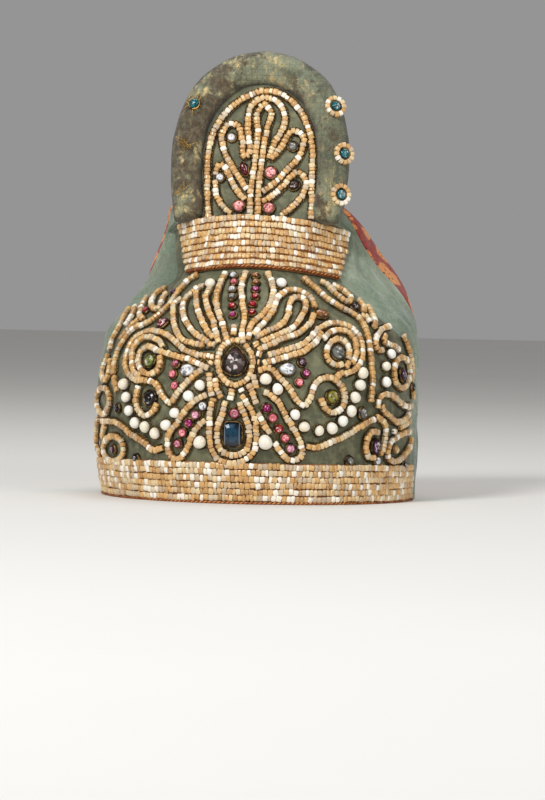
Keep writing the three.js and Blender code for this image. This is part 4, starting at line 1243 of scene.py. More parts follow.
@dataclass
class BrowWall:
    """The stiff brow: quilted cloth drawn over pasteboard, its top turned in over the crown."""

    columns: int = 150
    rows: int = 84
    top: float = 149.5
    pucker: float = 0.22
    turned: int = 7

    def face(self, lift: float) -> Array:
        """Grid of the wall at a lift: height top (1 - (1 - v)^1.35), angle by the brow's edge.

        Its last rows run from the top edge inwards to four fifths of its width, rising by a sine.
        """
        u, v = np.meshgrid(np.linspace(-1, 1, self.columns), np.linspace(0, 1, self.rows))
        z = self.top * (1 - (1 - v) ** 1.35)
        edge = np.where(u < 0, brow_edge(z, -1), brow_edge(z, 1))
        wave = self.pucker * ripple((u + 1) / 2, v, 9, 7, 4) * np.clip(v * 6, 0, 1)
        wall = CROWN_FORM.at(z, u * edge, lift + wave)[0]
        rim = wall[-1:]
        end = np.stack([FOOT[0] + 0.8 * (rim[..., 0] - FOOT[0]), np.maximum(rim[..., 1], -13.0),
                        np.full(rim.shape[:2], 151.6 + lift - SKIN_LIFT)], -1)
        t = np.linspace(0, 1, self.turned + 1)[1:, None, None]
        top = rim + (end - rim) * t
        top[..., 2] = (rim + (end - rim) * np.sin(t * math.pi / 2))[..., 2]
        return np.concatenate([wall, top])

    def build(self, wardrobe: Wardrobe) -> list[bpy.types.Object]:
        """Makes the cloth and the lined board under it."""
        outer = self.face(SKIN_LIFT)
        cloth = Skin()
        points, faces = slab(outer, self.face(SKIN_LIFT - 0.7))
        cloth.add(points, faces, 0, True, grid_uv(outer))
        piece = cloth.build("brow_cloth", [wardrobe.brow], (), "brow_cloth")
        area_of(outer)
        board = Skin()
        points, faces = slab(self.face(SKIN_LIFT - 0.72), self.face(SKIN_LIFT - WALL))
        board.add(points, faces, 0, True, grid_uv(outer))
        return [piece, board.build("brow_board", [wardrobe.board], ["front_shell"], "brow_cloth")]


@dataclass
class SilkSides:
    """The two celadon silk sides, stretched from the brow's edge to the back seam in soft creases."""

    columns: int = 56
    rows: int = 120
    crease: float = 1.1
    thick: float = 1.2

    def build(self, wardrobe: Wardrobe) -> list[bpy.types.Object]:
        """Makes the left and right sheet: creases run down the side, and its top tucks under the roll."""
        made = []
        for hand, name in ((-1, "silk_left"), (1, "silk_right")):
            u, v = np.meshgrid(np.linspace(0, 1, self.columns), np.linspace(0, 1, self.rows))
            z = 167.0 * v
            tucked = np.clip(38 + 3.2 * (z - 154), 38, 64)
            start = np.maximum(brow_edge(z, hand) + 0.15 - 4.0 * np.maximum(0, z - 147.5), tucked)
            end = SmoothTable(BACK_SEAM).at(z, 1) - 0.3
            fold = np.sin(PHASES * (3.2 * u + 0.5 * np.sin(3 * v + hand)) + 2 * hand) * (0.4 + 0.6 * v)
            wave = self.crease * (0.6 * fold + 0.5 * ripple(u, v, 4, 5,
                                                            11 + hand)) * np.sin(math.pi * u) ** 0.5
            wave = wave * np.clip(v * 8, 0, 1) - 2.25 * (1 - smooth_step(u * 3.4))
            outer, _ = CROWN_FORM.at(z, hand * (start + (end - start) * u), wave - 0.35)
            inner, _ = CROWN_FORM.at(z, hand * (start + (end - start) * u), wave - 0.35 - self.thick)
            skin = Skin()
            points, faces = slab(outer, inner)
            skin.add(points, faces, 0, True, grid_uv(outer))
            piece = skin.build(name + "_cloth", [wardrobe.silk], [name], "silk")
            area_of(outer)
            made.append(piece)
        return made


@dataclass
class CottonBack:
    """The printed cotton back, gathered a little into its seams and at the rim."""

    columns: int = 150
    rows: int = 120
    gather: float = 0.6
    thick: float = 1.2

    def build(self, wardrobe: Wardrobe) -> bpy.types.Object:
        """Makes the sheet: gathers fade upwards from the rim and downwards from the crest."""
        u, v = np.meshgrid(np.linspace(0, 1, self.columns), np.linspace(0, 1, self.rows))
        z = 167.6 * v
        start = SmoothTable(BACK_SEAM).at(z, 1) + 0.3
        angle = start + (180 - start) * 2 * u
        fold = np.sin(PHASES * 17 * u + 1.5 * np.sin(5 * v)) * (0.5 * (1 - v) ** 3 + 0.7 * v**4)
        wave = self.gather * (fold + 0.7 * ripple(u, v, 5, 4, 23)) * np.clip(np.minimum(u, 1 - u) * 25, 0, 1)
        wave = wave * np.clip(v * 10, 0, 1)
        outer, _ = CROWN_FORM.at(z, angle, wave - 0.3)
        inner, _ = CROWN_FORM.at(z, angle, wave - 0.3 - self.thick)
        skin = Skin()
        points, faces = slab(outer, inner)
        skin.add(points, faces, 0, True, grid_uv(outer))
        piece = skin.build("printed_back", [wardrobe.cotton], ["back_panel"], "cotton_print")
        area_of(outer)
        return piece


@dataclass
class PaddedRoll:
    """The padded roll of the crest: a stuffed tube bent to an arch, swollen by cloth simulation."""

    steps: int = 120
    sides: int = 28
    shrink: float = 0.35
    cap: float = 1.5
    voxel: float = 0.003
    trim: float = 2.2

    def build(self, wardrobe: Wardrobe) -> bpy.types.Object:
        """Makes the tube: arch point + across cos a, deep sin a, drawn back at both feet."""
        t = np.linspace(0, 1, self.steps)
        a = np.arange(self.sides) / self.sides * 2 * math.pi
        full, way = arch_line(400), arch_line(400, 1.0) - arch_line(400)
        run = run_of(full)
        where = self.trim + (run[-1] - 2 * self.trim) * t
        line, out = at_run(full, where), unit(at_run_of(way, run, where))
        foot = smooth_step(np.minimum(where, run[-1] - where) / 11)[:, None]
        inside = 1 + 0.19 * np.clip(-np.cos(a), 0, 1) * np.sin(math.pi * t)[:, None] ** 2
        wide = (ROLL_ACROSS - self.shrink) * (0.93 + 0.07 * foot) * inside * np.cos(a)
        deep = (ROLL_DEEP - self.shrink) * (1 - (1 - foot) * np.where(np.sin(a) < 0, 0.5, 0.1)) * np.sin(a)
        flat = line[:, None] + wide[..., None] * out[:, None]
        points = crest_point(flat[..., 0], flat[..., 1], deep).reshape(-1, 3)
        n, s = self.steps, self.sides
        i, k = np.arange(n - 1)[:, None] * s, np.arange(s)[None, :]
        m = (k + 1) % s
        faces = [np.stack([i + k, i + m, i + s + m, i + s + k], -1).reshape(-1, 4),
                 np.stack([np.arange(s)[::-1], (n - 1) * s + np.arange(s)])]
        skin = Skin()
        skin.add(points, faces)
        rough = skin.build("roll_form", [wardrobe.roll])
        piece = self.swollen(rough)
        seated(piece, ["crest_roll"])
        return piece

    def swollen(self, rough: bpy.types.Object) -> bpy.types.Object:
        """Remeshes the form, lets cloth pressure fill it, and holds each point within the cap.

        Args:
            rough: the plain tube, which is removed.

        Returns:
            The filled roll with wrinkles drawn across it.
        """
        mod = rough.modifiers.new("even", "REMESH")
        mod.mode, mod.voxel_size = "VOXEL", self.voxel
        graph = bpy.context.evaluated_depsgraph_get()
        mesh = bpy.data.meshes.new_from_object(rough.evaluated_get(graph))
        piece = bpy.data.objects.new("padded_roll", mesh)
        bpy.context.scene.collection.objects.link(piece)
        bpy.data.objects.remove(rough)
        rest = points_of(mesh)
        moved = rest
        cloth = piece.modifiers.new("filling", "CLOTH")
        cloth.settings.use_pressure = True
        cloth.settings.uniform_pressure_force = 4
        cloth.settings.effector_weights.gravity = 0
        cloth.settings.quality = 4
        for step in range(1, 21):
            bpy.context.scene.frame_set(step)
        graph = bpy.context.evaluated_depsgraph_get()
        moved = points_of(piece.evaluated_get(graph).to_mesh())
        piece.evaluated_get(graph).to_mesh_clear()
        piece.modifiers.remove(cloth)
        bpy.context.scene.frame_set(1)
        go = moved - rest
        far = np.linalg.norm(go, axis=1, keepdims=True)
        held = rest + go * np.minimum(1, self.cap * 1e-3 / np.maximum(far, 1e-9))
        mesh.vertices.foreach_set("co", (held + self.wrinkles(held)).astype(np.float32).ravel())
        mesh.polygons.foreach_set("use_smooth", np.ones(len(mesh.polygons), bool))
        mesh.update()
        smooth = piece.modifiers.new("round", "SUBSURF")
        smooth.levels = smooth.render_levels = 1
        return piece

    def wrinkles(self, points: Array) -> Array:
        """Creases across the roll, deepest on its inner side: a wave of the run along the arch.

        Args:
            points: places in metres in the shared frame.

        Returns:
            How far each point moves.
        """
        rel = points * 1000 - SHIFT - FOOT
        flat = np.stack([rel[:, 0], rel @ CREST_UP], -1)
        line = arch_line(400)
        gap = np.linalg.norm(flat[:, None] - line[None], axis=-1)
        near = gap.argmin(1)
        out = (arch_line(400, 1.0) - line)[near]
        off = ((flat - line[near]) * out).sum(1)
        run = run_of(line)[near]
        from_line = points * 1000 - SHIFT - crest_point(line[near][:, 0], line[near][:, 1])
        away = unit(from_line)
        inner = np.clip(0.5 - off / 16, 0, 1)
        wave = 0.22 * np.sin(run * 0.75 + 2 * np.sin(run * 0.11)) * inner + 0.3 * ripple(
            run / 280, off / 40, 9, 3, 5)
        return away * wave[:, None] * 1e-3


def points_of(mesh: bpy.types.Mesh) -> Array:
    """A mesh's points as rows."""
    co = np.empty(len(mesh.vertices) * 3, np.float32)
    mesh.vertices.foreach_get("co", co)
    return co.reshape(-1, 3).astype(float)


@dataclass
class CrestPanel:
    """The arched board inside the roll, covered with the brow's cloth."""

    rows: int = 90
    columns: int = 60

    def build(self, wardrobe: Wardrobe) -> bpy.types.Object:
        """Makes the cloth: level rows from the arch's left to its right, with painted shade next to the roll.
        """
        edge = arch_line(2 * self.rows + 1, -(ROLL_ACROSS - 1.5))
        left, right = edge[: self.rows], edge[: -self.rows - 1 : -1]
        w = np.linspace(0, 1, self.columns)[None, :, None]
        flat = left[:, None] + (right - left)[:, None] * w
        line = arch_line(300, -ROLL_ACROSS)
        gap = np.linalg.norm(flat.reshape(-1, 1, 2) - line[None], axis=-1).min(1)
        wave = 0.25 * ripple(flat[..., 0] / 60, flat[..., 1] / 80, 5, 5, 8)
        outer = crest_point(flat[..., 0], flat[..., 1], PANEL_FRONT + wave + 0.05)
        inner = crest_point(flat[..., 0], flat[..., 1], PANEL_FRONT + PANEL_THICK + 0 * wave)
        # Painted shade: within 2.6 mm of the roll the cloth is darkened through the tint's green channel.
        shade = np.clip(1 - gap / 2.6, 0, 1)
        tint = np.stack([0 * shade + 0.5, shade, 0 * shade, 0 * shade + 1], -1)
        skin = Skin()
        points, faces = slab(outer, inner)
        uv = np.vstack([flat.reshape(-1, 2) / 100] * 2)
        skin.add(points, faces, 0, True, uv, np.vstack([tint, tint]))
        piece = skin.build("panel_cloth", [wardrobe.brow], ["crest_panel"], "brow_cloth")
        return piece


@dataclass
class Stone:
    """A cut stone in its cup."""

    name: str
    square: tuple[float, float]
    glass: Glass
    across: float
    up: float
    cut: str = "round"
    turn: float = 0.0
    tall: float = 1.0
    sink: float = 0.0
    nodes: tuple[str, ...] = ()
    slot: str = "stone_clear"


def outline(cut: str, a: Array) -> Array:
    """Plan of a cut at angles a, on half sizes of one: round, pear, marquise, trefoil or emerald."""
    c, s = np.cos(a), np.sin(a)
    if cut == "pear":
        return np.stack([c * (1 - 0.42 * np.maximum(0, s)), s * (1 + 0.1 * s)], -1)
    if cut == "marquise":
        return np.stack([c * (1 - 0.35 * s**2), s], -1)
    if cut == "trefoil":
        r = 1 + 0.14 * np.sin(3 * a)
        return np.stack([c * r, s * r], -1)
    if cut == "emerald":
        m = (np.abs(c) ** 5 + np.abs(s) ** 5) ** (1 / 5)
        return np.stack([c / m, s / m], -1) * 0.98
    return np.stack([c, s], -1)


@dataclass
class Jeweller:
    """Cuts stones and pearls and sets them in their cups on the cloth."""

    places: Places
    girdle: float = 1.4
    table: float = 2.7
    rim: float = 0.75

    def set_stone(self, skin: Skin, stone: Stone, point: Array, axes: Array) -> None:
        """A cup, a girdle of sixteen, two bevels of sixteen facets and a table.

        Args:
            skin: where it goes.
            stone: its cut and sizes.
            point: its foot on the cloth.
            axes: across, up and out, as rows.
        """
        size = np.array((stone.across, stone.up))
        low = -stone.sink
        table = self.table * stone.tall

        def ring(count: int, scale: float, z: float, wider: float = 0.0, turn: float = 0.0) -> Array:
            """Points of the outline at a height, scaled and then widened by millimetres."""
            a = (np.arange(count) + turn) / count * 2 * math.pi
            flat = outline(stone.cut, a) * size
            flat = flat * scale + unit(flat) * wider
            return np.hstack([flat, np.full((count, 1), z + low)])

        rings = [ring(16, 1.0, 0.2), ring(16, 1.0, self.girdle),
                 ring(16, 0.86, self.girdle + 0.55 * (table - self.girdle)),
                 ring(16, 0.6, table)]
        local = np.vstack(rings)
        k = np.arange(16)
        after = (k + 1) % 16
        sides = [np.stack([r * 16 + k, r * 16 + after, (r + 1) * 16 + after, (r + 1) * 16 + k],
                          -1) for r in range(3)]
        caps = np.stack([k[::-1], 48 + k])
        uv = local[:, :2] / size
        # Alpha picks which facets get painted flashes; 2 marks a long stone for painted side streaks.
        tint = srgb(stone.glass.value, 2.0 if stone.cut == "emerald" else chance(point))
        skin.add(point + local @ axes, [np.vstack(sides), caps], 0, False, uv, tint)
        cup = [ring(24, 1.0, 0.0, self.rim + 0.15), ring(24, 1.0, self.girdle * 0.6, self.rim),
               ring(24, 1.0, self.girdle + 0.15, self.rim * 0.6), ring(24, 1.0, self.girdle + 0.1, 0.02),
               ring(24, 1.0, 0.05, 0.02)]
        local = np.vstack(cup)
        k = np.arange(24)
        after = (k + 1) % 24
        n = len(cup)
        sides = [np.stack([r * 24 + k, r * 24 + after, (r + 1) % n * 24 + after, (r + 1) % n * 24 + k], -1)
                 for r in range(n)]
        skin.add(point + local @ axes, [np.vstack(sides)], 1, True)
        self.places.note(point, max(size) * 0.5 + min(size) * 0.5)

    def set_pearl(self, skin: Skin, point: Array, axes: Array, radius: float,
                  rng: np.random.Generator) -> None:
        """A ball, uneven by three slow waves, cut off where it meets the cloth, ringed with thread.

        Args:
            skin: where it goes.
            point: its foot on the cloth.
            axes: across, up and out, as rows.
            radius: its radius.
            rng: source of unevenness.
        """
        rows, columns = 11, 20
        lat = np.linspace(-0.7, math.pi / 2, rows)[:, None]
        lon = (np.arange(columns) / columns * 2 * math.pi)[None, :]
        phase = rng.uniform(0, PHASES, 3)
        r = radius * (1 + 0.05 * np.sin(2 * lon + phase[0]) * np.cos(lat) + 0.03 * np.sin(3 * lon + phase[1])
                      * np.cos(lat) ** 2)
        flat = np.cos(lat)
        flat[-1] = 0.02
        squash = 1 + rng.uniform(-0.1, 0.03)
        local = np.stack(np.broadcast_arrays(squash * r * flat * np.cos(lon), r * flat * np.sin(lon),
                                             radius * 0.62 + radius * 0.9 * np.sin(lat) + 0 * lon),
                                             -1).reshape(-1, 3)
        k = np.arange(columns)
        after = (k + 1) % columns
        sides = [np.stack([i * columns + k, i * columns + after, (i + 1) * columns + after,
                           (i + 1) * columns + k], -1)
                 for i in range(rows - 1)]
        caps = np.stack([k[::-1], (rows - 1) * columns + k])
        tint = (rng.uniform(0, 1), 0, rng.uniform(0, 1), 1)
        skin.add(point + local @ axes, [np.vstack(sides), caps], 0, True, None, tint)
        a = np.arange(26) / 26 * 2 * math.pi
        circle = np.stack([np.cos(a), np.sin(a)], -1) * (radius + 0.5)
        line = point + np.hstack([circle, np.full((26, 1), 0.45)]) @ axes
        points, faces, uv = tube(line, np.broadcast_to(axes[2], line.shape), 0.42, 0.42, 6, True, ply)
        skin.add(points, faces, 1, True, uv)
        self.places.note(point, radius)


def chance(point: Array) -> float:
    """A number under one for each stone, so that no two show the same painted flashes."""
    return float((point[0] * 0.37 + point[2] * 0.53) % 0.97)


def cut_stone(name: str, square: tuple[float, float], glass: Glass, across: float, up: float, slot: str,
              **more: Any) -> Stone:
    """A stone that stands for the node of its name."""
    return Stone(name, square, glass, across, up, slot="stone_" + slot, nodes=(name,), **more)


BROW_STONES = (
    cut_stone("centre_drop", (234.3, 361.5), Glass.SMOKY, 6.8, 8.2, "smoky", cut="pear", tall=1.35),
    cut_stone("blue_stone", (232, 434.6), Glass.BLUE, 5.2, 6.7, "blue", cut="emerald", tall=1.3),
    cut_stone("pink_button", (234, 413.5), Glass.ROSE, 2.7, 2.7, "pink"),
    cut_stone("pear_left", (186.5, 369.5), Glass.CLEAR, 3.5, 4.6, "clear", cut="pear", turn=-90),
    cut_stone("pear_right", (288, 368.5), Glass.CLEAR, 3.5, 4.8, "clear", cut="pear", turn=90),
    cut_stone("eye_upper_left", (148.3, 360), Glass.GREEN, 3.7, 3.7, "green"),
    cut_stone("eye_lower_left", (148, 398), Glass.DARK, 4.2, 4.2, "dark"),
    cut_stone("eye_upper_right", (339.5, 351.5), Glass.GREY, 4.2, 4.2, "smoky", sink=0.6),
    cut_stone("eye_lower_right", (333.8, 397), Glass.OLIVE, 3.8, 3.8, "olive"),
    cut_stone("oval_smoky", (322.3, 312.4), Glass.AMBER, 4.2, 3.0, "smoky"),
    cut_stone("red_trefoil", (161, 321.5), Glass.GARNET, 3.6, 3.6, "red", cut="trefoil"),
    cut_stone("plum_oval_upper", (404.7, 374.6), Glass.PLUM, 3.0, 3.6, "plum"),
    cut_stone("plum_oval_lower", (377.7, 447), Glass.PLUM, 3.2, 4.2, "plum"),
    cut_stone("grey_oval", (364.5, 413.5), Glass.GREY, 2.6, 3.2, "smoky"),
)
CREST_STONES = (
    cut_stone("crest_silver_upper", (231.9, 138), Glass.CLEAR, 2.3, 2.3, "clear"),
    cut_stone("crest_grey_round", (293.3, 147), Glass.GREY, 2.6, 2.6, "smoky"),
    cut_stone("crest_silver_lower", (220.3, 178), Glass.CLEAR, 2.3, 2.3, "clear"),
    cut_stone("crest_grey_oval", (294.5, 186), Glass.SMOKY, 3.0, 2.4, "smoky", turn=40),
    cut_stone("crest_marquise", (244.5, 169.6), Glass.GARNET, 2.2, 4.0, "red", cut="marquise", turn=20),
    cut_stone("crest_pink", (271, 173), Glass.SALMON, 3.4, 3.3, "pink"),
    cut_stone("crest_pear_left", (239, 206.5), Glass.SALMON, 3.4, 3.3, "pink", cut="pear", turn=180),
    cut_stone("crest_pear_right", (269, 208.5), Glass.SALMON, 3.4, 3.2, "pink", cut="pear", turn=180),
)
# Rows of small stones: name, node or none, half size, then right, down and colour of each.
STONE_ROWS = (
    ("row_left", "stones_row_left", 2.3, ((202, 406, Glass.CLEAR), (194.7, 415, Glass.PALE),
     (187.8, 423, Glass.MAGENTA), (181.4, 433, Glass.PINK), (176.6, 444, Glass.ROSE))),
    ("row_right", "stones_row_right", 2.3, ((267, 408, Glass.MAGENTA), (273, 418, Glass.PINK),
     (279, 429, Glass.RED), (285.5, 438.5, Glass.PINK), (291, 449, Glass.PALE))),
    ("column_left", "", 1.95, ((233, 273.6, Glass.CLEAR), (233.4, 280.4, Glass.PINK),
                               (231.5, 287.6, Glass.CLEAR),
     (231.3, 295, Glass.GREY), (231.7, 304, Glass.RED), (232.2, 313, Glass.MAGENTA))),
    ("column_right", "", 1.95, ((255.4, 273.6, Glass.AMBER), (255.8, 280.6, Glass.AMBER),
                                (255.4, 287.6, Glass.MAGENTA),
     (255.2, 294.8, Glass.RED), (252.6, 302.4, Glass.RED), (252, 310.6, Glass.RED))),
    ("trio_left", "", 2.2, ((174.5, 363, Glass.ROSE), (171.5, 373.4, Glass.PINK), (173.6, 385, Glass.PINK))),
    ("trio_right", "", 2.2, ((302.8, 361.5, Glass.PLUM), (306.8, 372.7, Glass.MAGENTA),
                             (300, 382, Glass.PINK))),
    ("side_right", "", 2.2, ((415, 387, Glass.NAVY), (379, 461, Glass.CLEAR), (351.2, 461, Glass.GREY),
                             (406, 466, Glass.DARK),
     (356, 305.5, Glass.SMOKY))),
    ("side_left", "", 2.2, ((111, 449.6, Glass.PLUM), (115, 408, Glass.NAVY), (134, 459, Glass.DARK),
     (144.5, 308.5, Glass.RED), (172.5, 290.5, Glass.PLUM))),
)
# Pearls: name, node or none, radius, places.
PEARL_SETS = (
    ("pearls_left", "pearls_left", 2.9, ((122.7, 384), (125, 397), (128, 410.6), (134, 423), (144, 427),
     (154, 433.5), (165, 425), (174, 413), (188, 396), (199.4, 385))),
    ("pearls_right", "pearls_right", 2.9, ((265.7, 379), (277.8, 389), (295.6, 414.6), (304.8, 427), (320,
        431),
     (332.6, 428.4), (343.6, 421), (352, 411), (356, 397.4), (361, 385), (363.5, 373))),
    ("pearl_low_left", "pearl_low_left", 3.6, ((199.4, 442.4),)),
    ("pearl_low_right", "pearl_low_right", 3.6, ((265.3, 442.4),)),
    ("pearl_top_left", "pearl_top_left", 2.8, ((209.8, 282.6),)),
    ("pearl_top_right", "pearl_top_right", 2.8, ((281.7, 281.8),)),
    ("pearls_side", "", 2.7, ((392.6, 353.6), (387.5, 366), (387.5, 382))),
)


def oval(centre: tuple[float, float], across: float, up: float, start: float, end: float,
         count: int) -> Array:
    """A ring or part of one, in squares of the drawing."""
    a = np.radians(np.linspace(start, end, count + 1))
    return np.stack([centre[0] + across * np.cos(a), centre[1] - up * np.sin(a)], -1)


# Strings of beads, in squares of the drawing: node, then its routes.
NETS: dict[str, tuple[Any, ...]] = {
    "fan_strings": (
        ((245.5, 270), (241.6, 284), (242, 300), (244.5, 316), (242, 330), (243, 343)),
        ((225, 271), (218, 287), (216, 304), (221, 319), (227, 340)),
        ((267.5, 271), (273, 284), (272, 299), (264, 312), (252, 323), (247, 343)),
        oval((235, 362), 17.5, 22.5, 60, 425, 12),
    ),
    "petals_left": (
        ((218, 342), (213, 321), (207, 306), (205.5, 293), (209, 287), (200, 285), (190, 292), (185.7, 296),
         (182, 305.5), (184, 318), (193, 331), (208, 342)),
        ((181, 297), (173, 303), (172.7, 314), (173.6, 325), (180, 337), (196, 343.5), (215, 344)),
    ),
    "petals_right": (
        ((253, 334), (262, 324), (272, 311), (278, 297), (286, 290), (297, 289), (309, 294.5), (315, 305),
         (311, 321), (299, 332), (283, 338), (268, 345), (257.5, 349)),
    ),
    "scroll_left": (
        ((214, 356), (199, 354.5), (184, 349), (166, 334), (149, 330), (133, 338), (125.5, 353), (125, 369),
         (134, 379), (147, 380)),
        ((208, 368), (193, 361), (182, 357), (163, 352), (157, 350)),
        ((212, 366), (198, 371.6), (185, 383), (176, 394), (169, 402.5), (161, 395), (156, 385), (147, 379.5),
         (138, 385), (135, 398), (137, 410), (144, 415.5), (152, 411), (156, 403)),
    ),
    "scroll_right": (
        ((268, 355), (290, 348), (304, 343), (313, 335), (320, 327), (332.5, 322), (346, 324), (357, 331),
         (363, 343), (363, 357), (357, 368), (345, 374)),
        ((263, 363), (288, 355.5), (304, 350.5), (315, 342), (321, 334), (323, 328)),
        ((258, 370), (270, 368), (280, 378), (289, 387.5), (297, 400), (304.5, 406), (311, 397), (315, 385),
         (324, 377.5), (334, 378.5), (343, 387), (346, 397), (342, 408), (333, 413), (325, 407),
         (321.5, 398)),
        ((334, 378.5), (343, 372), (350, 361)),
    ),
    "border_left": (((197, 273), (188, 278), (178, 289), (169, 302), (160, 311), (147, 321), (133, 327),
                     (121, 341), (114, 357), (112, 374)),),
    "border_right": (((304, 276), (316.5, 287), (329, 298), (342, 306), (355, 313), (364, 322), (369, 335),
                      (371.5, 350), (373, 365), (374, 380), (373, 391), (372, 402)),),
    "drop_loops": (
        ((213, 398), (210, 412), (209, 425), (209, 436), (211.5, 450), (219, 460), (232, 463.5), (245, 460),
         (253, 452), (255.5, 440), (256, 428), (254, 416), (248, 405), (241, 395)),
        ((208, 411), (204, 420), (195, 429), (189, 443), (182, 456), (174, 459.5), (168, 452), (168, 434),
         (176, 423), (190, 404), (206, 394)),
        ((255.4, 409), (260, 417), (265, 426), (271, 434.6), (276, 445), (283, 455), (293, 460.5), (302, 456),
         (301, 443), (295, 431), (288, 420), (277, 400), (264, 391)),
    ),
    "blue_frame": (((225, 401), (222, 413), (218.4, 423), (216.5, 435), (218.5, 447), (226, 454),
                    (236, 455), (245.5, 451), (249, 440), (248.5, 428), (244, 414), (239, 402)),),
    "garland_left": (((100.7, 421), (115, 422.6), (128, 433), (140.6, 441), (153, 450), (162, 448)),),
    "garland_right": (((307, 446.5), (318, 447.5), (330, 443), (348, 435), (364, 425), (376, 419)),),
    "": (
        ((195.2, 289), (196, 301.2), (197.8, 310.7), (202, 320.2), (207.2, 329.7), (213.3, 337.4),
         (218.4, 342.6)),
        ((234, 324.5), (233.5, 332), (233, 337), (227.5, 341)),
        ((256, 336.5), (268, 330), (277, 326.5), (284, 321), (288.5, 313), (290, 303), (294.5, 296.5),
         (302, 296.5),
         (306, 301.5), (305.5, 308), (302, 314.5), (299, 320.5), (293, 326.8), (284, 331.3), (272, 336.5),
         (262, 341.5)),
        ((262, 354.5), (256.5, 352.5)), ((257.5, 362), (262, 362.6)),
        ((254.7, 341.7), (257.2, 346)),
        ((257.5, 357), (257, 366.5), (254, 375), (254.6, 381.5), (257, 388)),
        ((209, 372.5), (209, 379.5), (209.8, 385.5), (210.7, 391), (212, 396)),
        ((215.3, 378), (215.8, 385.5), (218, 391.5), (221.5, 397.5)),
        ((231.5, 388.5), (231, 394), (229.5, 400)),
        ((240.5, 388), (243.5, 394), (246, 400.5)),
        ((248, 384), (251.5, 390), (254, 397), (256, 404)),
        ((202, 362), (208.5, 364.5), (211.5, 360.5)),
        ((163, 350), (160.4, 342.8), (154, 337.6), (144.5, 336.3), (136.8, 340.6), (132, 347.5), (131, 357),
         (131.2, 366), (134.3, 372.5), (140, 375.6)),
        oval((148.2, 360), 11.2, 13.8, 20, 380, 10),
        ((112.3, 376), (113.5, 383), (115.8, 391)),
        ((164.6, 286.8), (158.9, 289), (154, 293), (150.5, 300), (151.5, 306), (157.2, 307.3), (160.5, 301),
         (162.5, 295), (166.5, 291)),
        ((146, 295), (142, 301.7), (139.3, 308.6), (139, 314), (141.7, 318)),
        ((137.5, 318.5), (133.5, 321.3), (129, 326), (124, 332), (118.5, 338.5)),
        ((134, 305), (131.5, 312.6), (128.5, 318), (123.5, 324.5)),
        ((128, 307), (124.3, 312), (121, 318.5), (117, 327), (112.5, 334.5), (109.5, 342), (108.5, 349)),
        ((106.5, 353), (104, 360), (101.5, 367), (100.3, 374), (103, 380), (106.5, 375), (108, 367),
         (108.6, 359)),
        ((98.5, 388), (104, 388.3), (107.2, 394), (107.7, 401), (106, 408), (102.5, 414.5), (97.5, 411),
         (95.3, 404), (95.3, 396), (98.5, 388)),
        ((96.5, 418), (95, 427), (94.8, 437), (95.5, 447), (98.6, 455)),
        ((103.2, 425.5), (101.5, 432), (101, 438)),
        oval((111.8, 449), 10.2, 12.6, 60, 420, 10),
        oval((403.5, 372.3), 7.8, 15.8, 90, 450, 10),
        oval((338.7, 351.5), 11.6, 13.2, 150, 510, 10),
        ((324.5, 338.5), (328.5, 333), (334, 330), (341, 329), (349, 331.3), (355, 337.5), (357.3, 346),
         (356.5, 355), (352, 363.5), (345, 369)),
        ((321, 279.5), (327, 282.5), (332.1, 287.4), (336, 291.4), (340.6, 295.4), (345.2, 298.9), (350, 301),
         (351.5, 296), (346.5, 290.8), (340.7, 287), (333, 283)),
        ((358.5, 297.5), (362.5, 301.7), (365, 306), (363.7, 310.5)),
        ((368, 304), (371, 309), (373.8, 314), (376, 320), (375.5, 327)),
        ((362, 313.5), (368, 316.5), (371.5, 321)),
        ((391, 325), (384.5, 327.5), (379.5, 333), (376.7, 341), (378.8, 348.5), (384.5, 349.5)),
        ((386.5, 334), (385.2, 340), (390, 343.3), (396, 345.8), (400.8, 350)),
        ((404.5, 334), (408.2, 342), (411, 350), (412.8, 358), (413.8, 366.3), (413.8, 375.3), (412.6, 381)),
        ((379.2, 408.3), (380, 399.8), (384.3, 395), (391.7, 394.8), (397.6, 398.8), (402.7, 403.5),
         (407.8, 406.5),
         (413.5, 406)),
        ((382.5, 405.5), (385.8, 411.5), (391.7, 417.4), (396.8, 421.5), (402.5, 422), (407.8, 418),
         (411.5, 412.5)),
        ((414.5, 391), (415, 399)),
        ((377.7, 416.5), (384.3, 421.5), (387.3, 427), (386.7, 434), (385.8, 441.4), (384.5, 448.7),
         (381, 454.6)),
        ((380, 433), (374.8, 431.5), (369.7, 435.5), (367.7, 441.4), (367.2, 448), (368, 453.8), (371, 458),
         (376.3, 457.8), (381.5, 455)),
        ((411.5, 431.5), (404.9, 433.5), (398.3, 437.4), (393, 441.8), (390, 448), (388.7, 454.5), (391, 460),
         (398, 461), (404.2, 457.5), (408.6, 451.6), (412, 445), (413, 437)),
        ((395.5, 447), (398.5, 451.5)), ((401, 428.3), (406, 424.8), (411.5, 421)),
        ((394.5, 431), (397, 432)),
    ),
}
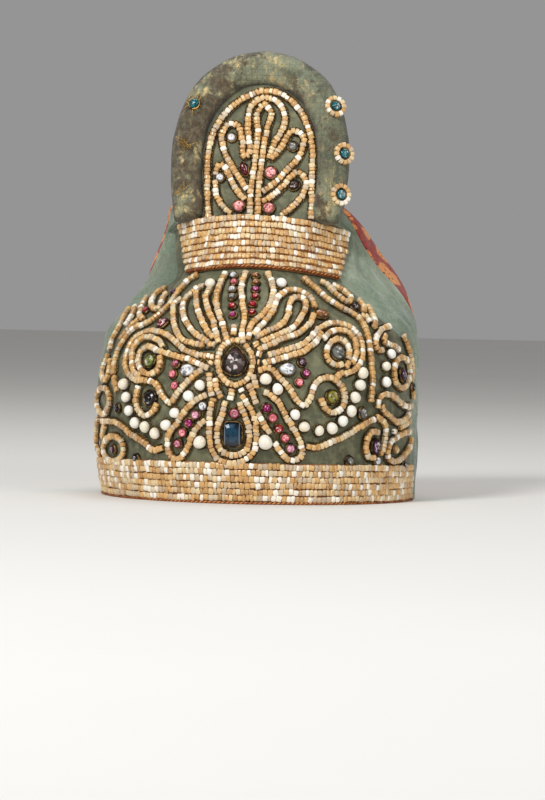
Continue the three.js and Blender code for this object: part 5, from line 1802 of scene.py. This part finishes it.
CREST_NETS: dict[str, tuple[Any, ...]] = {
    "crest_border": ((
        (208.5, 218), (207.8, 205), (207.3, 185), (207.8, 160), (211.5, 138), (220, 120.5), (233, 105.5),
        (248, 96), (264, 91),
        (280, 93.3), (296, 105.5), (306.5, 123), (312, 143), (312.5, 165), (311.8, 190), (311.5, 219),
    ),),
    "crest_scrolls": (
        ((250, 218), (251, 189), (254, 168), (257, 146), (258, 130), (257, 114), (264, 104.5), (271, 112),
         (267, 130), (264.5, 143), (262, 160), (259, 184), (257.5, 218)),
        ((249, 203), (239, 193), (231, 180), (225, 167), (219, 165), (215.6, 175), (216.6, 195),
         (222.5, 206), (231, 214)),
        ((251, 196), (243, 184), (233, 168), (225, 153), (221.6, 137), (228, 124.5), (238, 125.5),
         (242.3, 141),
         (244, 156), (249.5, 153), (248, 130), (249.5, 109), (256, 101), (266, 97.5), (278, 102), (285, 117),
         (281.5, 131), (274, 144), (270, 158), (281, 148), (292, 131), (303, 136), (300, 155), (287, 170),
         (272, 185), (259, 194)),
        ((259, 203), (272, 196), (283, 186), (297, 172.5), (306, 180), (303, 194), (292, 207), (281, 216)),
    ),
}


@dataclass
class Jewels:
    """All stones and pearls of the brow and crest."""

    places: Places

    def build(self, wardrobe: Wardrobe) -> list[bpy.types.Object]:
        """Sets every stone and pearl."""
        jeweller = Jeweller(self.places)
        made = []
        for group, crest in ((BROW_STONES, False), (CREST_STONES, True)):
            squares = [s.square for s in group]
            spots = DRAWING.on_crest(squares, PANEL_FRONT) if crest else DRAWING.on_crown(squares)
            for stone, point, normal in zip(group, *spots):
                foot = point + normal * (0.3 if crest else SKIN_LIFT + 0.35)
                skin = Skin()
                jeweller.set_stone(skin, stone, foot, frame_at(normal, stone.turn))
                made.append(skin.build(stone.name + "_cut", [wardrobe.glass, wardrobe.collet], stone.nodes,
                                       stone.slot))
        for name, node, size, stones in STONE_ROWS:
            skin = Skin()
            points, normals = DRAWING.on_crown([s[:2] for s in stones])
            for (right, down, glass), point, normal in zip(stones, points, normals):
                foot = point + normal * (SKIN_LIFT + 0.35)
                stone = Stone(name, (right, down), glass, size, size, tall=0.95)
                jeweller.set_stone(skin, stone, foot, frame_at(normal))
            slot = "stone_red" if node == "stones_row_right" else "stone_pink"
            made.append(skin.build(name, [wardrobe.glass, wardrobe.collet], [node] if node else (), slot))
        rng = np.random.default_rng(31)
        for name, node, radius, squares in PEARL_SETS:
            skin = Skin()
            points, normals = DRAWING.on_crown(squares)
            for point, normal in zip(points, normals):
                foot = point + normal * (SKIN_LIFT + 0.25)
                jeweller.set_pearl(skin, foot, frame_at(normal), radius * rng.uniform(0.96, 1.12), rng)
            made.append(skin.build(name + "_sewn", [wardrobe.pearl, wardrobe.gilt], [node] if node else (),
                                   "pearl"))
        return made


@dataclass
class Beadwork:
    """Strings of chopped mother-of-pearl on the brow and the crest, edged with gilt thread."""

    places: Places
    laid: Bead
    stringing: Stringing = field(default_factory=Stringing)

    def lines(self, routes: Sequence[Any], crest: bool) -> list[tuple[Array, Array]]:
        """Centre lines of strings: smooth curves in the drawing, set on the form they are sewn to.

        Args:
            routes: squares that each string passes.
            crest: whether they lie on the crest's panel.

        Returns:
            Points and outward directions of each string.
        """
        made = []
        for route in routes:
            squares = through(np.array(route, float), 9)
            if crest:
                point, normal = DRAWING.on_crest(squares, PANEL_FRONT - 0.3 - STRING_HALF)
                made.append((point, np.array(normal)))
            else:
                point, normal = DRAWING.on_crown(squares)
                made.append((point + normal * (SKIN_LIFT + 0.4 + STRING_HALF), normal))
        return made

    def build(self, wardrobe: Wardrobe) -> list[bpy.types.Object]:
        """Strings the beads of every net, and then lays the gilt thread where cloth is left."""
        made, waiting = [], []
        rng = np.random.default_rng(7)
        for nets, crest in ((NETS, False), (CREST_NETS, True)):
            for node, routes in nets.items():
                skin = Skin()
                strings = self.lines(routes, crest)
                for line, out in strings:
                    self.stringing.string(skin, line, out, rng, self.laid, self.places)
                waiting.append((node, skin, strings))
        for node, skin, strings in waiting:
            for line, out in strings:
                self.stringing.edging(skin, line, out, self.laid, self.places)
            name = (node or "fine_strings") + "_beads"
            made.append(skin.build(name, [wardrobe.nacre, wardrobe.string, wardrobe.gilt],
                                   [node] if node else (), "nacre_beads", 40))
        return made


@dataclass
class BeadBands:
    """The collar round the crest's foot and the band along the brow: rows of beads on a tape."""

    collar_rows: int = 8
    brow_rows: int = 6

    def collar(self, s: Array, v: Array | float, lift: float) -> tuple[Array, Array]:
        """Place of the collar at s from -1 to 1 and height share v."""
        low, high = 128.6 - 5.2 * s * s, 157.4 - 8.0 * s * s
        return CROWN_FORM.at(low + (high - low) * v, s * (43 + 22 * v), lift)

    def brow(self, s: Array, v: Array | float, lift: float) -> tuple[Array, Array]:
        """Place of the brow band at s from -1 to 1 and height share v."""
        return CROWN_FORM.at(v * (22.3 - 2.6 * s * s), s * 85.6, lift)

    def build(self, wardrobe: Wardrobe) -> list[bpy.types.Object]:
        """Makes both bands."""
        made = []
        rng = np.random.default_rng(12)
        bands = (
            ("collar_beads", "collar_band", self.collar, self.collar_rows, 3.4, SEAT + 0.45, -0.55, 0.03,
             -0.87, 1.02),
            ("brow_band_beads", "brow_band", self.brow, self.brow_rows, 3.62, SEAT, -0.85, 0.055, -1.0, 1.0),
        )
        for name, node, place, rows, pitch, seat, centre, low, first, last in bands:
            skin = Skin()
            s = np.linspace(first, last, 140)
            su, sv = np.meshgrid(s, np.linspace(0, 1, 10))
            outer, inner = place(su, sv, seat + 0.55)[0], place(su, sv, seat)[0]
            points, faces = slab(outer, inner)
            skin.add(points, faces, 3, True, grid_uv(outer))
            fresh, nothing = Bead(), Places()
            for row in range(rows):
                v = low + (1 - low) * (row + 0.5) / rows
                end = 1.0 - 0.012 * rng.uniform()
                line, out = place(np.linspace(first * end, last * end, 260), v + 0.0, centre)
                wander = 0.26 * ripple(np.linspace(0, 1, 260), np.zeros(260), 7, 0, 40 + row)[:, None]
                line = line + wander * np.array((0, 0, 1.0))
                kit = Stringing(pitch=2.4, half_wide=pitch / 2 - 0.07, half_deep=1.15, silver_and_glint=0.17)
                kit.string(skin, line, out, rng, fresh, nothing)
                fresh = Bead()
            edge, out = place(np.linspace(first, last, 300), low * 0.45 + 0.0, centre + 0.35)
            edge[:, 2] = np.maximum(edge[:, 2], 0.75)
            points, faces, uv = tube(edge, out, 0.7, 0.75, 8, False, ply)
            skin.add(points, faces, 4, True, uv)
            made.append(skin.build(name, [wardrobe.nacre, wardrobe.string, wardrobe.gilt, wardrobe.backing,
                                          wardrobe.cord], [node], "nacre_beads", 40))
        return made


def on_roll(square: tuple[float, float]) -> tuple[Array, Array]:
    """Where a square of the drawing falls on the padded roll, found by four passes of its depth.

    Args:
        square: right and down.

    Returns:
        The point and the outward direction there.
    """
    depth, line, out = -ROLL_DEEP, arch_line(400), arch_line(400, 1.0) - arch_line(400)
    for _ in range(4):
        point = DRAWING.on_crest([square], depth)[0][0]
        rel = point - FOOT
        flat = np.array((rel[0], rel @ CREST_UP))
        best = int(np.linalg.norm(flat - line, axis=1).argmin())
        off = float((flat - line[best]) @ out[best])
        a = math.acos(min(0.8, max(-0.8, off / ROLL_ACROSS)))
        slope = (np.array((out[best][0], 0, 0)) + out[best][1] * CREST_UP) * math.cos(a) / ROLL_ACROSS
        normal = unit(slope - CREST_BACK * math.sin(a) / ROLL_DEEP)
        depth = -ROLL_DEEP * math.sin(a)
    return DRAWING.on_crest([square], depth)[0][0], normal


@dataclass
class Rosettes:
    """Teal stones ringed with twelve beads on the roll, and the loose threads of the lost ones."""

    ring: float = 4.85
    beads: int = 12

    def build(self, wardrobe: Wardrobe) -> list[bpy.types.Object]:
        """Sets the rosettes and the tufts."""
        made = []
        rng = np.random.default_rng(5)
        jeweller = Jeweller(Places(), girdle=1.3, table=2.6)
        kept = (("rosette_right_upper", (335, 107), True), ("rosette_right_middle", (343.4, 154), True),
                ("rosette_right_lower", (340, 194.8), True), ("roll_stone_left", (194.8, 104), False))
        for name, square, ringed in kept:
            point, normal = on_roll(square)
            axes = frame_at(normal)
            skin = Skin()
            stone = Stone(name, square, Glass.TEAL, 2.9, 2.9)
            jeweller.set_stone(skin, stone, point + normal * 0.2, axes)
            if ringed:
                self.bead_ring(skin, point + normal * 1.15, axes, rng)
            made.append(skin.build(name + "_set", [wardrobe.glass, wardrobe.collet, wardrobe.nacre], [name],
                                   "stone_teal", 40))
        skin = Skin()
        for square, count in (((194.8, 104), 12), ((187, 145), 14), ((181, 192), 7)):
            self.tuft(skin, square, count, rng)
        made.append(skin.build("loose_threads", [wardrobe.loose], (), "roll_cloth"))
        return made

    def bead_ring(self, skin: Skin, centre: Array, axes: Array, rng: np.random.Generator) -> None:
        """Beads set evenly round the stone, each with its hole along the ring."""
        a = np.arange(self.beads) / self.beads * 2 * math.pi
        out = np.stack([np.cos(a), np.sin(a)], -1) @ axes[:2]
        ahead = np.stack([-np.sin(a), np.cos(a)], -1) @ axes[:2]
        n = self.beads
        up = np.broadcast_to(axes[2], out.shape)
        frames = np.stack([ahead * 1.16, out * rng.uniform(1.25, 1.5, (n, 1)), up * 1.3], 1)
        cut = BeadCut(scale=(0.72, 1.0, 1.0, 0.72))
        points = framed(np.broadcast_to(cut.shape(), (n, 32, 3)), centre + out * self.ring,
                        frames).reshape(-1, 3)
        # Green flags a quarter of the ring's beads as palest: partly paler nacre, partly a painted glint.
        tint = np.stack([rng.uniform(0.2, 1, n), rng.uniform(0, 1, n) < 0.25, rng.uniform(0, 1, n),
                         np.ones(n)], -1)
        skin.add(points, cut.faces(n), 2, True, None, np.repeat(tint, 32, 0))

    def tuft(self, skin: Skin, square: tuple[float, float], count: int, rng: np.random.Generator) -> None:
        """Loose gold thread ends that bow out of the cloth: out + height sin of the share along."""
        point, normal = on_roll(square)
        axes = frame_at(normal)
        t = np.linspace(0, 1, 9)[:, None]
        for _ in range(count):
            a, reach, high = rng.uniform(0, PHASES), rng.uniform(2.5, 6.5), rng.uniform(0.6, 2.0)
            start = rng.uniform(-1.8, 1.8, 2)
            flat = start + t * reach * np.array((math.cos(a),
                                                 math.sin(a))) + 0.6 * np.sin(4 * t) * rng.normal(size=2)
            local = np.hstack([flat, 0.5 + high * np.sin(t * math.pi)])
            points, faces, uv = tube(point + local @ axes, np.broadcast_to(normal, (9, 3)), 0.2, 0.2, 5)
            skin.add(points, faces, 0, True, uv)


@dataclass
class Studio:
    """Pale floor, soft light, and the camera of the drawing's eye."""

    def build(self) -> None:
        """Sets the floor, the lights and the camera."""
        floor_finish, web, shader = surface("pale_floor")
        tone = web.mix(web.noise(web.places(), 3.0), srgb("e4e2de"), srgb("e9e7e3"))
        dress(web, shader, {"Base Color": tone, "Roughness": 0.9})
        u = np.linspace(-1, 1, 3)
        x, y = np.meshgrid(u * 6.0, u * 6.0)
        mesh = bpy.data.meshes.new("floor")
        flat = np.stack([x.ravel(), y.ravel(), np.zeros(9)], -1)
        mesh.from_pydata(flat.tolist(), [], grid_faces(3, 3).tolist())
        mesh.materials.append(floor_finish)
        floor = bpy.data.objects.new("floor", mesh)
        bpy.context.scene.collection.objects.link(floor)
        world = bpy.data.worlds.new("studio")
        bpy.context.scene.world = world
        world.use_nodes = True
        world.node_tree.nodes["Background"].inputs["Color"].default_value = (1, 1, 1, 1)
        world.node_tree.nodes["Background"].inputs["Strength"].default_value = 0.3
        self.lamp("key", (-0.7, -1.5, 1.35), 0.5, 26)
        self.lamp("fill", (1.3, -1.2, 0.7), 0.9, 8)
        self.lamp("top", (0.1, 0.4, 1.6), 0.9, 8)
        bpy.context.scene.view_settings.view_transform = "Standard"
        self.camera()

    def lamp(self, name: str, place: tuple[float, float, float], size: float, power: float) -> None:
        """A square soft light that faces the headdress."""
        light = bpy.data.lights.new(name, "AREA")
        light.size, light.energy = size, power
        lamp = bpy.data.objects.new(name, light)
        lamp.location = place
        aim = np.array((0, 0, 0.12)) - np.array(place)
        lamp.rotation_euler = Vector(aim).to_track_quat("-Z", "Y").to_euler()
        bpy.context.scene.collection.objects.link(lamp)

    def camera(self) -> None:
        """A long lens at the drawing's eye: 448 mm of height at 2.2 m, turned by the tilt."""
        c, s = math.cos(DRAWING.roll), math.sin(DRAWING.roll)
        right = DRAWING.right * c + DRAWING.up * s
        up = -DRAWING.right * s + DRAWING.up * c
        data = bpy.data.cameras.new("eye")
        data.sensor_width, data.lens = 36.0, 36 * 2200 / 448
        data.clip_start, data.clip_end = 0.05, 50
        eye = (DRAWING.eye + SHIFT) * 0.001
        camera = bpy.data.objects.new("eye", data)
        camera.matrix_world = Matrix([[right[k], up[k], DRAWING.back[k], eye[k]] for k in range(3)] + [[0,
            0, 0, 1]])
        bpy.context.scene.collection.objects.link(camera)
        bpy.context.scene.camera = camera


def main() -> None:
    """Builds every sub-assembly in order."""
    logging.basicConfig(level=logging.INFO, format="%(message)s")
    wardrobe = Wardrobe()
    places, laid = Places(), Bead()
    BrowWall().build(wardrobe)
    SilkSides().build(wardrobe)
    CottonBack().build(wardrobe)
    PaddedRoll().build(wardrobe)
    CrestPanel().build(wardrobe)
    Jewels(places).build(wardrobe)
    Beadwork(places, laid).build(wardrobe)
    BeadBands().build(wardrobe)
    Rosettes().build(wardrobe)
    Studio().build()


if __name__ == "__main__":
    main()
